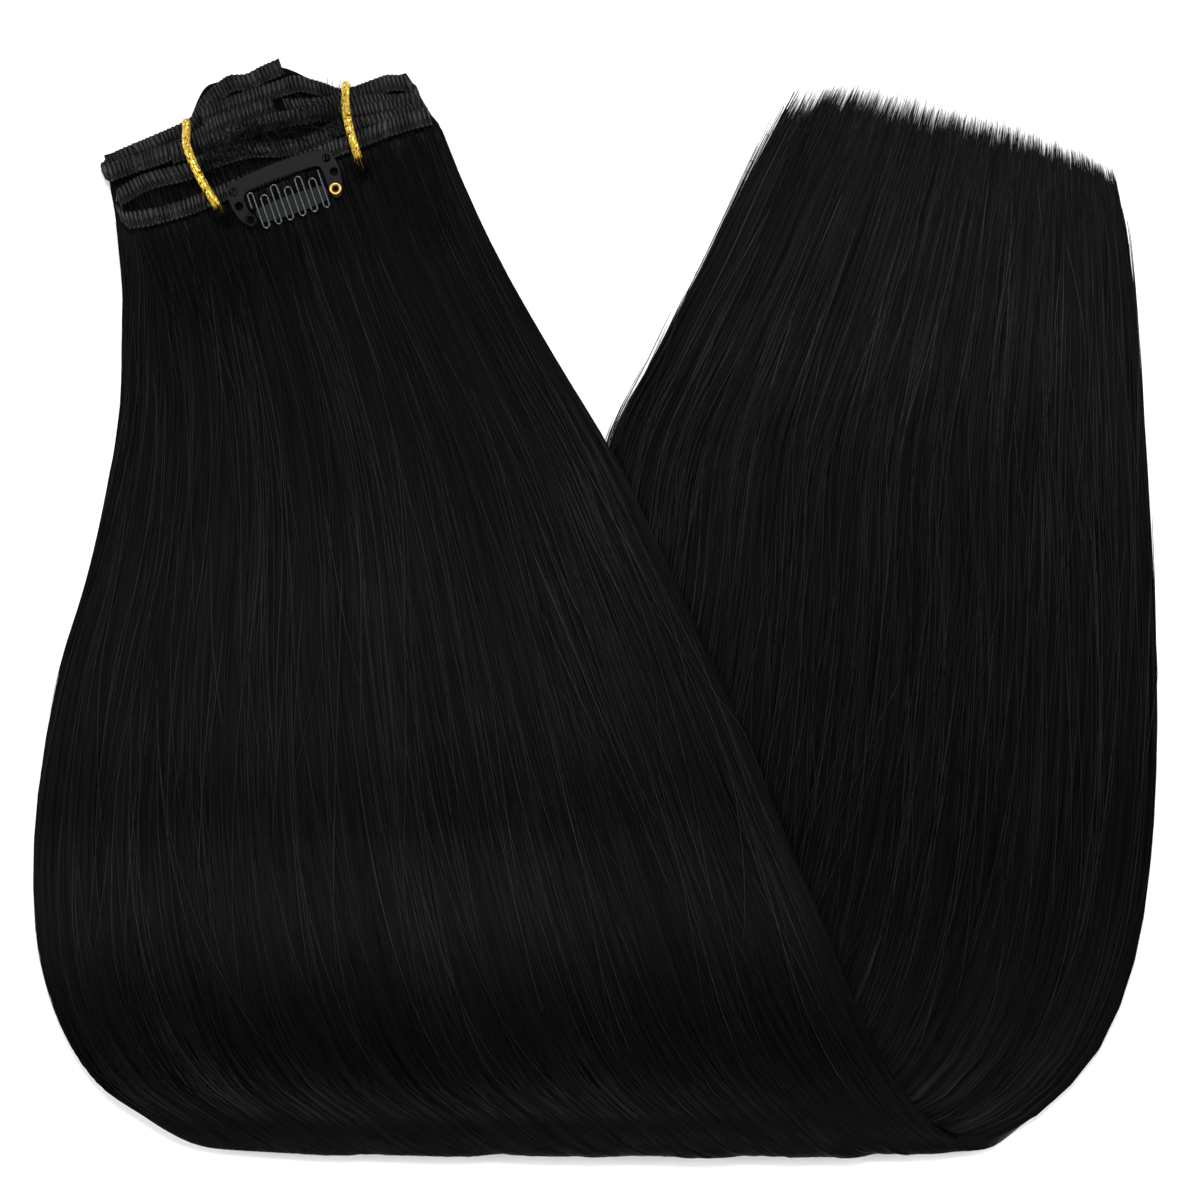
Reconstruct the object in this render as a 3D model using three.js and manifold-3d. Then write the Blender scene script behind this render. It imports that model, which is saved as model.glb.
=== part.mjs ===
// A clip in hair extension: a bundle of long hair, folded once, with its wefts held by two
// elastic ties and a snap comb clip sewn on top. Lengths are in millimetres, +Z is up and the
// hair lies on the floor plane at z = 0.
import * as THREE from 'three';
import { mergeVertices } from 'three/addons/utils/BufferGeometryUtils.js';
import Module from 'manifold-3d';

// Spread of the hair as it lies
const spreadWidth = 310;
const spreadDepth = 303;
const layerThickness = 4.6;
const rootThickness = 11.8;
const thinnestEdge = 0.9;
const foldReach = 7;
const foldLift = 10;
const layerGap = 0.8;
const lockCount = 12;
const lockDepth = 1.3;
const tipTaper = 0.32;

// Wefts at the head of the bundle
const bundleWidth = 90;
const bundleTurn = 19;
const bundleMiddle = [-0.274, 0.382];
const weftWidth = 5;
const weftThickness = 1.2;
const weftPitch = 1.8;
const lowestWeft = 3.2;

// Ties
const tieDiameter = 2.4;
const tieGap = 0.35;

// Snap comb clip
const clipLength = 32;
const plateThickness = 0.6;
const plateGap = 0.3;
const sewingHoleRadius = 1.1;
const eyeletBore = 0.65;
const eyeletShank = 1.05;
const eyeletFlange = 1.7;
const flangeThickness = 0.3;
const flangeInset = 0.15;
const flangeChamfer = 0.1;
const rimWidth = 0.35;
const rimRise = 1.2;
const rimDip = 0.6;
const pieceGap = 0.25;
const wireDiameter = 0.56;
const leafThickness = 0.35;

// How the hair's section changes over its width
const swellRise = [0.24, 0.4];
const swellFall = [0.6, 0.8];
const blockShare = 0.6;
const blockCrown = 0.35;
const layerCrown = 0.6;
const sideLift = 0.62;
const liftCrown = 0.7;
const foldSteps = 6;

// How the locks and the loose ends differ from each other
const columnsPerLock = 3;
const lockBack = 0.75;
const lockUneven = 0.25;
const lockPhase = 2.4;
const lockMiddle = 0.5;
const sideFade = 6;
const raggedPhase = 5.1;
const raggedStart = 1.3;
const tipEdge = 0.5;
const grooveReach = 0.42;

// Cells in which the height of the lower layer is looked up
const heightCell = 5;
const cellSteps = 6;

// Fineness of the small pieces
const passStations = 17;
const weftFoldSteps = 6;
const tieStations = 40;
const tieSides = 8;
const outlineDetail = 2;
const sewingHoleCorners = 14;
const eyeletSides = 16;
const wireSides = 7;
const turnSteps = 4;
const weldDistance = 1e-4;

const columns = lockCount * columnsPerLock;
const clipAt = { x: bundleMiddle[0] * spreadWidth, y: bundleMiddle[1] * spreadDepth };
const turn = THREE.MathUtils.degToRad(bundleTurn);

// Rows of hair from the back of the wefts to the fold. left and right are the places of its two
// ends as shares of the spread, swell and bow shares of its depth (swell pushes the middle back,
// bow forward), thick and lift shares of the root thickness and the fold lift, edge the share of
// the thickness that is left at the two sides.
const upperRows = [
  { left: [-0.438, 0.412], right: [-0.169, 0.487], swell: 0.037, thick: 0.2, lift: 0, edge: 0.9 },
  { left: [-0.435, 0.399], right: [-0.165, 0.481], swell: 0.031, thick: 0.21, lift: 0, edge: 0.9 },
  { left: [-0.433, 0.388], right: [-0.161, 0.475], swell: 0.025, thick: 0.335, lift: 0, edge: 0.9 },
  { left: [-0.432, 0.380], right: [-0.158, 0.469], swell: 0.019, thick: 0.465, lift: 0, edge: 0.85 },
  { left: [-0.429, 0.366], right: [-0.153, 0.460], swell: 0.015, thick: 0.62, lift: 0, edge: 0.75 },
  { left: [-0.427, 0.352], right: [-0.146, 0.448], swell: 0.013, thick: 0.76, lift: 0, edge: 0.7 },
  { left: [-0.425, 0.335], right: [-0.139, 0.439], thick: 0.925, lift: 0, edge: 0.65 },
  { left: [-0.423, 0.316], right: [-0.132, 0.421], thick: 0.95, lift: 0, edge: 0.6 },
  { left: [-0.420, 0.293], right: [-0.124, 0.400], thick: 0.84, lift: 0, edge: 0.5 },
  { left: [-0.421, 0.245], right: [-0.088, 0.320], thick: 0.71, lift: 0, edge: 0.4 },
  { left: [-0.423, 0.183], right: [-0.037, 0.228], thick: 0.59, lift: 0, edge: 0.3 },
  { left: [-0.435, 0.108], right: [0.013, 0.142], thick: 0.5, lift: 0, edge: 0.25 },
  { left: [-0.4525, 0.028], right: [0.054, 0.056], thick: 0.44, lift: 0.04, edge: 0.25 },
  { left: [-0.4765, -0.055], right: [0.097, -0.035], thick: 0.42, lift: 0.1, edge: 0.25 },
  { left: [-0.493, -0.145], right: [0.137, -0.128], thick: 0.4, lift: 0.15, edge: 0.25 },
  { left: [-0.500, -0.230], right: [0.172, -0.218], thick: 0.42, lift: 0.3, edge: 0.25 },
  { left: [-0.496, -0.310], right: [0.205, -0.298], bow: 0.003, thick: 0.46, lift: 0.5, edge: 0.28 },
  { left: [-0.4765, -0.380], right: [0.233, -0.368], bow: 0.006, thick: 0.52, lift: 0.74, edge: 0.3 },
  { left: [-0.445, -0.432], right: [0.262, -0.423], bow: 0.006, thick: 0.58, lift: 0.94, edge: 0.34 },
  { left: [-0.401, -0.464], right: [0.292, -0.464], thick: 0.6, lift: 1, edge: 0.4 },
];

// Rows of the part that has passed under the fold, from the fold to the loose tips. thick is a
// share of the layer thickness, lock the share of the lock depth that shows there.
const lowerRows = [
  { left: [-0.272, -0.466], right: [0.385, -0.468], thick: 1.5, lock: 0, edge: 0.4 },
  { left: [-0.206, -0.440], right: [0.418, -0.440], bow: 0.016, thick: 1.48, lock: 0, edge: 0.34 },
  { left: [-0.140, -0.385], right: [0.454, -0.392], bow: 0.018, thick: 1.4, lock: 0, edge: 0.3 },
  { left: [-0.092, -0.305], right: [0.4815, -0.316], bow: 0.012, thick: 1.28, lock: 0.1, edge: 0.26 },
  { left: [-0.058, -0.203], right: [0.495, -0.226], bow: 0.005, thick: 1.16, lock: 0.2, edge: 0.24 },
  { left: [-0.032, -0.094], right: [0.500, -0.121], thick: 1.06, lock: 0.3, edge: 0.22 },
  { left: [-0.009, 0.020], right: [0.498, -0.003], thick: 1, lock: 0.4, edge: 0.22 },
  { left: [0.012, 0.145], right: [0.492, 0.116], thick: 0.96, lock: 0.55, edge: 0.22 },
  { left: [0.057, 0.235], right: [0.486, 0.210], thick: 0.9, lock: 0.7, edge: 0.22 },
  { left: [0.103, 0.322], right: [0.480, 0.284], thick: 0.8, lock: 0.85, edge: 0.24 },
  { left: [0.137, 0.392], right: [0.474, 0.335], thick: 0.66, lock: 1, edge: 0.28 },
];

// The loose ends: each row lies a share of the way from the last row above to the tip line.
const tipLine = { left: [0.180, 0.476], right: [0.465, 0.384], bow: -0.006 };
const tipRows = [
  { along: 0.35, thick: 0.5, lock: 0.9 },
  { along: 0.68, thick: 0.36, lock: 0.6 },
  { along: 1, thick: 0.22, lock: 0.2 },
];

// Paths of the wefts, as shares of the bundle width: across the bundle and forward from the
// clip's middle. level counts weft pitches up from the lowest weft.
const weftPaths = {
  back: {
    level: 0,
    points: [[0.103, -0.357], [0.041, -0.352], [-0.008, -0.345], [-0.057, -0.358], [-0.097, -0.348],
      [-0.152, -0.323], [-0.182, -0.302], [-0.215, -0.273], [-0.258, -0.266], [-0.347, -0.259],
      [-0.46, -0.251], [-0.49, -0.243]],
  },
  backUpper: {
    level: 2,
    points: [[-0.492, -0.2165], [-0.46, -0.218], [-0.27, -0.218], [-0.184, -0.236], [-0.133, -0.253],
      [0.043, -0.253]],
  },
  second: {
    level: 1,
    points: [[-0.184, -0.291], [-0.061, -0.296], [0.092, -0.293], [0.133, -0.289], [0.17, -0.268],
      [0.21, -0.24], [0.247, -0.21], [0.285, -0.2], [0.356, -0.201], [0.402, -0.2], [0.451, -0.18]],
  },
  secondUpper: {
    level: 2,
    points: [[0.46, -0.125], [0.411, -0.134], [0.371, -0.149], [0.325, -0.162], [0.279, -0.171],
      [0.241, -0.188], [0.169, -0.205], [0.103, -0.224], [0.074, -0.236]],
  },
  middle: {
    level: 3,
    points: [[-0.307, -0.205], [-0.184, -0.204], [0, -0.204], [0.123, -0.187], [0.23, -0.163],
      [0.285, -0.14], [0.466, -0.113]],
  },
  upper: {
    level: 4,
    points: [[0.478, -0.083], [0.285, -0.101], [0.225, -0.121], [0.186, -0.115], [0.149, -0.107],
      [0.103, -0.102], [0, -0.12], [-0.081, -0.145], [-0.215, -0.151], [-0.273, -0.143],
      [-0.402, -0.152], [-0.497, -0.135]],
  },
  front: {
    level: 5,
    points: [[-0.497, -0.061], [-0.439, -0.049], [-0.347, -0.041], [-0.285, -0.04], [-0.184, -0.046],
      [0, -0.055], [0.153, -0.061], [0.285, -0.064], [0.368, -0.067], [0.485, -0.061]],
  },
};

// Paths of the ties, once round: forward from the clip's middle and across the bundle as shares
// of the bundle width, height as a share of the stack of wefts.
const tiePaths = {
  left: [
    { forward: -0.028, height: 1.112, across: -0.224 },
    { forward: -0.067, height: 1.122, across: -0.233 },
    { forward: -0.122, height: 1.06, across: -0.243 },
    { forward: -0.183, height: 0.99, across: -0.249 },
    { forward: -0.228, height: 0.885, across: -0.249 },
    { forward: -0.26, height: 0.724, across: -0.242 },
    { forward: -0.288, height: 0.5, across: -0.234 },
    { forward: -0.314, height: 0.328, across: -0.23 },
    { forward: -0.311, height: 0.179, across: -0.23 },
    { forward: -0.283, height: 0.095, across: -0.232 },
    { forward: -0.167, height: 0.095, across: -0.234 },
    { forward: -0.087, height: 0.095, across: -0.231 },
    { forward: -0.022, height: 0.164, across: -0.226 },
    { forward: 0, height: 0.373, across: -0.222 },
    { forward: 0.006, height: 0.67, across: -0.22 },
    { forward: 0.005, height: 0.95, across: -0.22 },
  ],
  right: [
    { forward: -0.045, height: 1.112, across: 0.236 },
    { forward: -0.089, height: 1.122, across: 0.238 },
    { forward: -0.139, height: 1.03, across: 0.243 },
    { forward: -0.18, height: 0.896, across: 0.251 },
    { forward: -0.218, height: 0.761, across: 0.26 },
    { forward: -0.247, height: 0.612, across: 0.269 },
    { forward: -0.258, height: 0.418, across: 0.272 },
    { forward: -0.254, height: 0.216, across: 0.27 },
    { forward: -0.228, height: 0.095, across: 0.262 },
    { forward: -0.133, height: 0.095, across: 0.25 },
    { forward: -0.06, height: 0.095, across: 0.24 },
    { forward: -0.004, height: 0.164, across: 0.235 },
    { forward: 0.014, height: 0.373, across: 0.234 },
    { forward: 0.017, height: 0.67, across: 0.234 },
    { forward: 0.004, height: 0.95, across: 0.234 },
  ],
};

// Outline of the clip plate, as shares of the clip length from its middle: across and forward.
const plateOutline = [[-0.5, -0.155], [-0.46, -0.178], [-0.4, -0.193], [-0.26, -0.211], [-0.12, -0.221],
  [0, -0.225], [0.17, -0.224], [0.3, -0.215], [0.39, -0.2], [0.43, -0.187], [0.458, -0.15],
  [0.475, -0.08], [0.482, 0], [0.47, 0.09], [0.448, 0.17], [0.42, 0.222], [0.385, 0.236],
  [0.352, 0.222], [0.338, 0.18], [0.335, 0.1], [0.333, 0.02], [0.325, -0.05], [0.3, -0.078],
  [0.24, -0.085], [0.1, -0.09], [-0.1, -0.088], [-0.26, -0.078], [-0.34, -0.062], [-0.375, -0.03],
  [-0.382, 0.03], [-0.372, 0.1], [-0.346, 0.14], [-0.334, 0.18], [-0.345, 0.215], [-0.38, 0.232],
  [-0.42, 0.222], [-0.465, 0.16], [-0.495, 0.09], [-0.51, 0], [-0.51, -0.09]];
const sewingHoles = [[0.4, -0.12], [0.425, 0.012], [-0.45, -0.1], [-0.443, 0.03]];
const eyeletPlaces = { right: [0.39, 0.155], left: [-0.388, 0.172] };

// The teeth: across places of the legs, and how far back the turn after each pair reaches.
const legShares = [0.297, 0.25, 0.19, 0.138, 0.082, 0.03, -0.03, -0.082, -0.138, -0.186, -0.246,
  -0.3, -0.345];
const tallTurn = -0.05;
const shortTurn = 0.005;
const toothEnd = 0.283;
const lastLegEnd = 0.09;
const leafOutline = [[-0.322, 0.12], [-0.28, 0.095], [-0.1, 0.08], [0.1, 0.08], [0.27, 0.09],
  [0.312, 0.115], [0.318, 0.165], [0.3, 0.21], [0.24, 0.232], [0.1, 0.243], [-0.1, 0.243],
  [-0.24, 0.236], [-0.3, 0.218], [-0.322, 0.175]];

const stackHeight = lowestWeft + weftPitch * weftPaths.front.level + weftThickness;
const plateBottom = stackHeight + plateGap;
const wireHeight = plateBottom + wireDiameter / 2;
const lerp = THREE.MathUtils.lerp;
const smoothstep = THREE.MathUtils.smoothstep;

// Turns a place across and forward of the clip's middle into the frame of the part.
function onBundle(across, forward, z) {
  const x = clipAt.x + across * Math.cos(turn) + forward * Math.sin(turn);
  const y = clipAt.y + across * Math.sin(turn) - forward * Math.cos(turn);
  return new THREE.Vector3(x, y, z);
}

// Makes one welded geometry from a list of points and a list of triangles.
function geometryFrom(points, triangles) {
  const geometry = new THREE.BufferGeometry();
  const flat = new Float32Array(points.length * 3);
  points.forEach((point, index) => point.toArray(flat, index * 3));
  geometry.setAttribute('position', new THREE.BufferAttribute(flat, 3));
  geometry.setIndex(triangles.flat());
  return geometry;
}

// Skins a list of rings, each with the same number of points, and closes it with two fans or,
// if it runs round, by joining the last ring to the first.
function skin(rings, closed) {
  const sides = rings[0].length;
  const points = rings.flat();
  const triangles = [];
  const last = closed ? rings.length : rings.length - 1;
  for (let i = 0; i < last; i += 1) {
    const here = i * sides;
    const next = ((i + 1) % rings.length) * sides;
    for (let j = 0; j < sides; j += 1) {
      const k = (j + 1) % sides;
      triangles.push([here + j, here + k, next + k], [here + j, next + k, next + j]);
    }
  }
  if (!closed) {
    const end = (rings.length - 1) * sides;
    for (let j = 1; j < sides - 1; j += 1) {
      triangles.push([0, j + 1, j], [end, end + j, end + j + 1]);
    }
  }
  return outward(geometryFrom(points, triangles));
}

// Gives the signed volume that a closed geometry encloses.
function enclosedVolume(geometry) {
  const place = geometry.attributes.position;
  const order = geometry.index.array;
  const [a, b, c] = [new THREE.Vector3(), new THREE.Vector3(), new THREE.Vector3()];
  let total = 0;
  for (let i = 0; i < order.length; i += 3) {
    a.fromBufferAttribute(place, order[i]);
    b.fromBufferAttribute(place, order[i + 1]);
    c.fromBufferAttribute(place, order[i + 2]);
    total += a.dot(b.cross(c)) / 6;
  }
  return total;
}

// Turns every triangle round where a geometry is inside out.
function outward(geometry) {
  if (enclosedVolume(geometry) < 0) {
    const order = geometry.index.array;
    for (let i = 0; i < order.length; i += 3) {
      [order[i + 1], order[i + 2]] = [order[i + 2], order[i + 1]];
    }
  }
  return geometry;
}

// The fall of hair

// The place of a point t of the way across a row, with its swell and bow.
function acrossRow(row, t) {
  const plateau = smoothstep(t, ...swellRise) * (1 - smoothstep(t, ...swellFall));
  const swell = (row.swell ?? 0) * plateau;
  const bow = (row.bow ?? 0) * Math.sin(Math.PI * t);
  const x = lerp(row.left[0], row.right[0], t) - swell * Math.sin(turn);
  const y = lerp(row.left[1], row.right[1], t) + swell * Math.cos(turn) - bow;
  return { x: x * spreadWidth, y: y * spreadDepth };
}

// The share of the full thickness at t across a row.
function acrossThickness(edge, t, crown) {
  return edge + (1 - edge) * Math.sin(Math.PI * t) ** crown;
}

// The share of the lock depth at a column: none in the groove, more on the lock's back.
function lockHeight(column) {
  const place = column % columnsPerLock;
  const lock = Math.floor(column / columnsPerLock);
  return place === 0 ? 0 : lockBack + lockUneven * Math.sin(lockPhase * lock + place);
}

// The lower layer: a flat underside on the floor and a top with the locks on it.
function lowerLayer() {
  const rows = lowerRows.map((row) => gridRow((t, column) => {
    const top = row.thick * layerThickness * acrossThickness(row.edge, t, layerCrown);
    const fade = Math.min(1, sideFade * Math.min(t, 1 - t));
    const relief = row.lock * lockDepth * (lockHeight(column) - lockMiddle) * fade;
    return { ...acrossRow(row, t), top: Math.max(thinnestEdge, top + relief) };
  }));
  const base = rows[rows.length - 1];
  tipRows.forEach((tip) => rows.push(gridRow((t, column) => {
    const end = acrossRow(tipLine, t);
    const lock = Math.floor(column / columnsPerLock);
    const ragged = 1 - tipTaper * (1 + Math.sin(raggedPhase * lock + raggedStart)) / 2;
    const reach = tip.along * (column % columnsPerLock === 0 ? grooveReach : ragged);
    const full = tip.thick * layerThickness * acrossThickness(tipEdge, t, layerCrown);
    const relief = tip.lock * lockDepth * (lockHeight(column) - lockMiddle);
    return {
      x: lerp(base[column].x, end.x, reach),
      y: lerp(base[column].y, end.y, reach),
      top: Math.max(thinnestEdge, full + relief),
    };
  })));
  return rows;
}

// Calls a function for every column and its share across.
function gridRow(make) {
  return Array.from({ length: columns + 1 }, (_, column) => make(column / columns, column));
}

// The number of the cell that a coordinate falls in.
function cellOf(coordinate) {
  return Math.round(coordinate / heightCell);
}

// A map of the height that the lower layer reaches, in square cells, widened by a cell.
function heightMap(rows) {
  const cells = new Map();
  for (let i = 0; i < rows.length - 1; i += 1) {
    for (let j = 0; j < columns; j += 1) {
      for (let a = 0; a <= cellSteps; a += 1) {
        for (let b = 0; b <= cellSteps; b += 1) {
          const mix = (name) => lerp(
            lerp(rows[i][j][name], rows[i][j + 1][name], b / cellSteps),
            lerp(rows[i + 1][j][name], rows[i + 1][j + 1][name], b / cellSteps),
            a / cellSteps,
          );
          const key = [cellOf(mix('x')), cellOf(mix('y'))].join();
          cells.set(key, Math.max(cells.get(key) ?? 0, mix('top')));
        }
      }
    }
  }
  return (x, y) => {
    let highest = 0;
    for (let i = -1; i <= 1; i += 1) {
      for (let j = -1; j <= 1; j += 1) {
        const key = [cellOf(x) + i, cellOf(y) + j].join();
        highest = Math.max(highest, cells.get(key) ?? 0);
      }
    }
    return highest;
  };
}

// The upper layer, draped over the lower one and lifted toward the fold.
function upperLayer(below) {
  return upperRows.map((row) => gridRow((t) => {
    const place = acrossRow(row, t);
    const under = below(place.x, place.y);
    const lifted = row.lift * foldLift * acrossThickness(sideLift, t, liftCrown);
    const bottom = Math.max(under > 0 ? under + layerGap : 0, lifted);
    const crown = row.thick > blockShare ? blockCrown : layerCrown;
    const thickness = row.thick * rootThickness * acrossThickness(row.edge, t, crown);
    return { ...place, bottom, top: bottom + Math.max(thinnestEdge, thickness) };
  }));
}

// The rows that roll the upper layer round the fold into the lower one.
function foldRows(from, to) {
  return Array.from({ length: foldSteps - 1 }, (_, i) => {
    const angle = (Math.PI * (i + 1)) / foldSteps;
    const down = (1 - Math.cos(angle)) / 2;
    return gridRow((t, column) => {
      const start = from[column];
      const end = to[column];
      const middle = lerp((start.bottom + start.top) / 2, end.top / 2, down);
      const half = lerp(start.top - start.bottom, end.top, down) / 2;
      const x = lerp(start.x, end.x, angle / Math.PI);
      const y = lerp(start.y, end.y, down) - foldReach * Math.sin(angle);
      const outer = new THREE.Vector3(x, y - half * Math.sin(angle), middle + half * Math.cos(angle));
      const inner = new THREE.Vector3(x, y + half * Math.sin(angle), middle - half * Math.cos(angle));
      return { outer, inner };
    });
  });
}

// The whole fall: the upper layer, the fold and the lower layer in one closed skin.
function hairFall() {
  const lower = lowerLayer();
  const upper = upperLayer(heightMap(lower));
  const rolled = foldRows(upper[upper.length - 1], lower[0]);
  const grid = [
    ...upper.map((row) => row.map((p) => ({
      outer: new THREE.Vector3(p.x, p.y, p.top),
      inner: new THREE.Vector3(p.x, p.y, p.bottom),
    }))),
    ...rolled,
    ...lower.map((row) => row.map((p) => ({
      outer: new THREE.Vector3(p.x, p.y, 0),
      inner: new THREE.Vector3(p.x, p.y, p.top),
    }))),
  ];
  const rings = grid.map((row) => [
    ...row.map((p) => p.outer),
    ...row.map((p) => p.inner).reverse(),
  ]);
  return skinGrid(rings);
}

// Skins the rows of the fall, with ends made of quads between the two faces of the end rows.
function skinGrid(rings) {
  const sides = rings[0].length;
  const points = rings.flat();
  const triangles = [];
  for (let i = 0; i < rings.length - 1; i += 1) {
    const here = i * sides;
    const next = (i + 1) * sides;
    for (let j = 0; j < sides; j += 1) {
      const k = (j + 1) % sides;
      triangles.push([here + j, here + k, next + k], [here + j, next + k, next + j]);
    }
  }
  const end = (rings.length - 1) * sides;
  for (let j = 0; j < sides / 2 - 1; j += 1) {
    const far = sides - 1 - j;
    triangles.push([j, far, far - 1], [j, far - 1, j + 1]);
    triangles.push([end + j, end + far - 1, end + far], [end + j, end + j + 1, end + far - 1]);
  }
  return outward(geometryFrom(points, triangles));
}

// The wefts

// Smooth stations along a weft path, at the height of its level.
function weftStations(path, count) {
  const height = lowestWeft + weftPitch * path.level + weftThickness / 2;
  const curve = new THREE.CatmullRomCurve3(path.points.map(
    ([across, forward]) => new THREE.Vector3(across * bundleWidth, forward * bundleWidth, 0),
  ));
  return curve.getSpacedPoints(count).map((p) => ({ across: p.x, forward: p.y, z: height }));
}

// Stations of a fold that joins the end of one pass to the start of the next.
function foldStations(from, to, side) {
  const radius = Math.abs(to.z - from.z) / 2;
  return Array.from({ length: weftFoldSteps - 1 }, (_, i) => {
    const share = (i + 1) / weftFoldSteps;
    const angle = Math.PI * share;
    const down = (1 - Math.cos(angle)) / 2;
    return {
      across: lerp(from.across, to.across, share) + side * radius * Math.sin(angle),
      forward: lerp(from.forward, to.forward, share),
      z: lerp(from.z, to.z, down),
    };
  });
}

// A ribbon through stations, wide along the forward direction.
function ribbon(stations) {
  const half = weftWidth / 2;
  const nose = weftThickness / 2;
  const section = [[-half, 0], [-half + nose, -nose], [half - nose, -nose], [half, 0],
    [half - nose, nose], [-half + nose, nose]];
  const rings = stations.map((at, i) => {
    const before = stations[Math.max(0, i - 1)];
    const after = stations[Math.min(stations.length - 1, i + 1)];
    const run = new THREE.Vector2(after.across - before.across, after.z - before.z).normalize();
    return section.map(([forward, out]) => onBundle(
      at.across - run.y * out,
      at.forward + forward,
      at.z + run.x * out,
    ));
  });
  return skin(rings, false);
}

// One strip of weft that makes one or two passes.
function weft(first, second, side) {
  const stations = weftStations(first, passStations);
  if (!second) {
    return ribbon(stations);
  }
  const onward = weftStations(second, passStations);
  const fold = foldStations(stations[stations.length - 1], onward[0], side);
  return ribbon([...stations, ...fold, ...onward]);
}

// The ties

// A closed round cord along a path of shares.
function tie(path, radius) {
  const curve = new THREE.CatmullRomCurve3(
    path.map((at) => onBundle(
      at.across * bundleWidth,
      at.forward * bundleWidth,
      at.height * stackHeight,
    )),
    true,
  );
  const stations = curve.getSpacedPoints(tieStations).slice(0, -1);
  const sideways = onBundle(1, 0, 0).sub(onBundle(0, 0, 0));
  const rings = stations.map((at, i) => {
    const ahead = stations[(i + 1) % stations.length];
    const behind = stations[(i + stations.length - 1) % stations.length];
    const run = ahead.clone().sub(behind).normalize();
    const out = new THREE.Vector3().crossVectors(sideways, run).normalize();
    const across = new THREE.Vector3().crossVectors(run, out);
    return Array.from({ length: tieSides }, (_, j) => {
      const angle = (2 * Math.PI * (j + 0.5)) / tieSides;
      return at.clone()
        .addScaledVector(out, radius * Math.cos(angle))
        .addScaledVector(across, radius * Math.sin(angle));
    });
  });
  return skin(rings, true);
}

// The clip

// Extrudes an outline given in shares of the clip length, from one height to another.
function clipSheet(outline, holes, bottom, thickness) {
  const curve = new THREE.CatmullRomCurve3(
    outline.map(([across, forward]) => new THREE.Vector3(across * clipLength, -forward * clipLength, 0)),
    true,
  );
  const edge = curve.getPoints(outline.length * outlineDetail).slice(0, -1);
  const shape = new THREE.Shape(edge.map((p) => new THREE.Vector2(p.x, p.y)));
  holes.forEach(({ at, radius, corners }) => {
    const hole = Array.from({ length: corners }, (_, i) => {
      const angle = (2 * Math.PI * i) / corners;
      return new THREE.Vector2(
        at[0] * clipLength + radius * Math.cos(angle),
        -at[1] * clipLength + radius * Math.sin(angle),
      );
    });
    shape.holes.push(new THREE.Path(hole));
  });
  const sheet = new THREE.ExtrudeGeometry(shape, { depth: thickness, bevelEnabled: false });
  return placeOnClip(sheet, 0, 0, bottom);
}

// Moves a geometry made about the clip's middle, x across and y back, to its place.
function placeOnClip(geometry, across, forward, z) {
  geometry.translate(across, -forward, 0);
  geometry.rotateZ(turn);
  geometry.translate(clipAt.x, clipAt.y, z);
  return geometry;
}

// The plate, with its sewing holes and the holes of the two rivets.
function clipPlate() {
  const holes = [
    ...sewingHoles.map((at) => ({ at, radius: sewingHoleRadius, corners: sewingHoleCorners })),
    ...Object.values(eyeletPlaces).map(
      (at) => ({ at, radius: eyeletShank + pieceGap, corners: eyeletSides }),
    ),
  ];
  return clipSheet(plateOutline, holes, plateBottom, plateThickness);
}

// A tubular rivet: a shank through the plate with a flange above and one below.
function eyelet(place) {
  const reach = plateThickness / 2 + pieceGap;
  const profile = [
    [eyeletBore, -reach - flangeThickness],
    [eyeletFlange - flangeInset, -reach - flangeThickness],
    [eyeletFlange - flangeInset, -reach],
    [eyeletShank, -reach],
    [eyeletShank, reach],
    [eyeletFlange, reach],
    [eyeletFlange - flangeChamfer, reach + flangeThickness],
    [eyeletBore + rimWidth, reach + flangeThickness * rimRise],
    [eyeletBore, reach + flangeThickness * rimDip],
  ];
  const rings = Array.from({ length: eyeletSides }, (_, i) => {
    const angle = (2 * Math.PI * i) / eyeletSides;
    return profile.map(([radius, z]) => new THREE.Vector3(
      radius * Math.cos(angle),
      radius * Math.sin(angle),
      z,
    ));
  });
  const across = place[0] * clipLength;
  const forward = place[1] * clipLength;
  return placeOnClip(skin(rings, true), across, forward, plateBottom + plateThickness / 2);
}

// The stations of the wire, leg after leg, with round turns at the teeth and at the back.
function wireStations() {
  const stations = [new THREE.Vector2(legShares[0], tallTurn)];
  for (let leg = 0; leg < legShares.length - 1; leg += 1) {
    const from = legShares[leg];
    const to = legShares[leg + 1];
    const radius = (from - to) / 2;
    const atTooth = leg % 2 === 0;
    const backTurn = leg % 4 === 1 ? shortTurn : tallTurn;
    const reach = atTooth ? toothEnd - radius : backTurn + radius;
    const sign = atTooth ? 1 : -1;
    for (let i = 0; i <= turnSteps; i += 1) {
      const angle = (Math.PI * i) / turnSteps;
      stations.push(new THREE.Vector2(
        (from + to) / 2 + radius * Math.cos(angle),
        reach + sign * radius * Math.sin(angle),
      ));
    }
  }
  stations.push(new THREE.Vector2(legShares[legShares.length - 1], lastLegEnd));
  return stations.map((p) => p.multiplyScalar(clipLength));
}

// The round wire along its stations, lying flat.
function combWire() {
  const stations = wireStations();
  const radius = wireDiameter / 2;
  const rings = stations.map((at, i) => {
    const before = stations[Math.max(0, i - 1)];
    const after = stations[Math.min(stations.length - 1, i + 1)];
    const side = after.clone().sub(before).normalize().rotateAround(new THREE.Vector2(), Math.PI / 2);
    return Array.from({ length: wireSides }, (_, j) => {
      const angle = (2 * Math.PI * (j + 0.5)) / wireSides;
      const out = radius * Math.cos(angle);
      return onBundle(at.x + side.x * out, at.y + side.y * out, wireHeight + radius * Math.sin(angle));
    });
  });
  return skin(rings, false);
}

// The leaf spring, just under the wire.
function combLeaf() {
  const bottom = plateBottom - pieceGap - leafThickness;
  return clipSheet(leafOutline, [], bottom, leafThickness);
}

// The ways of the ties are cut through the hair

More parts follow.
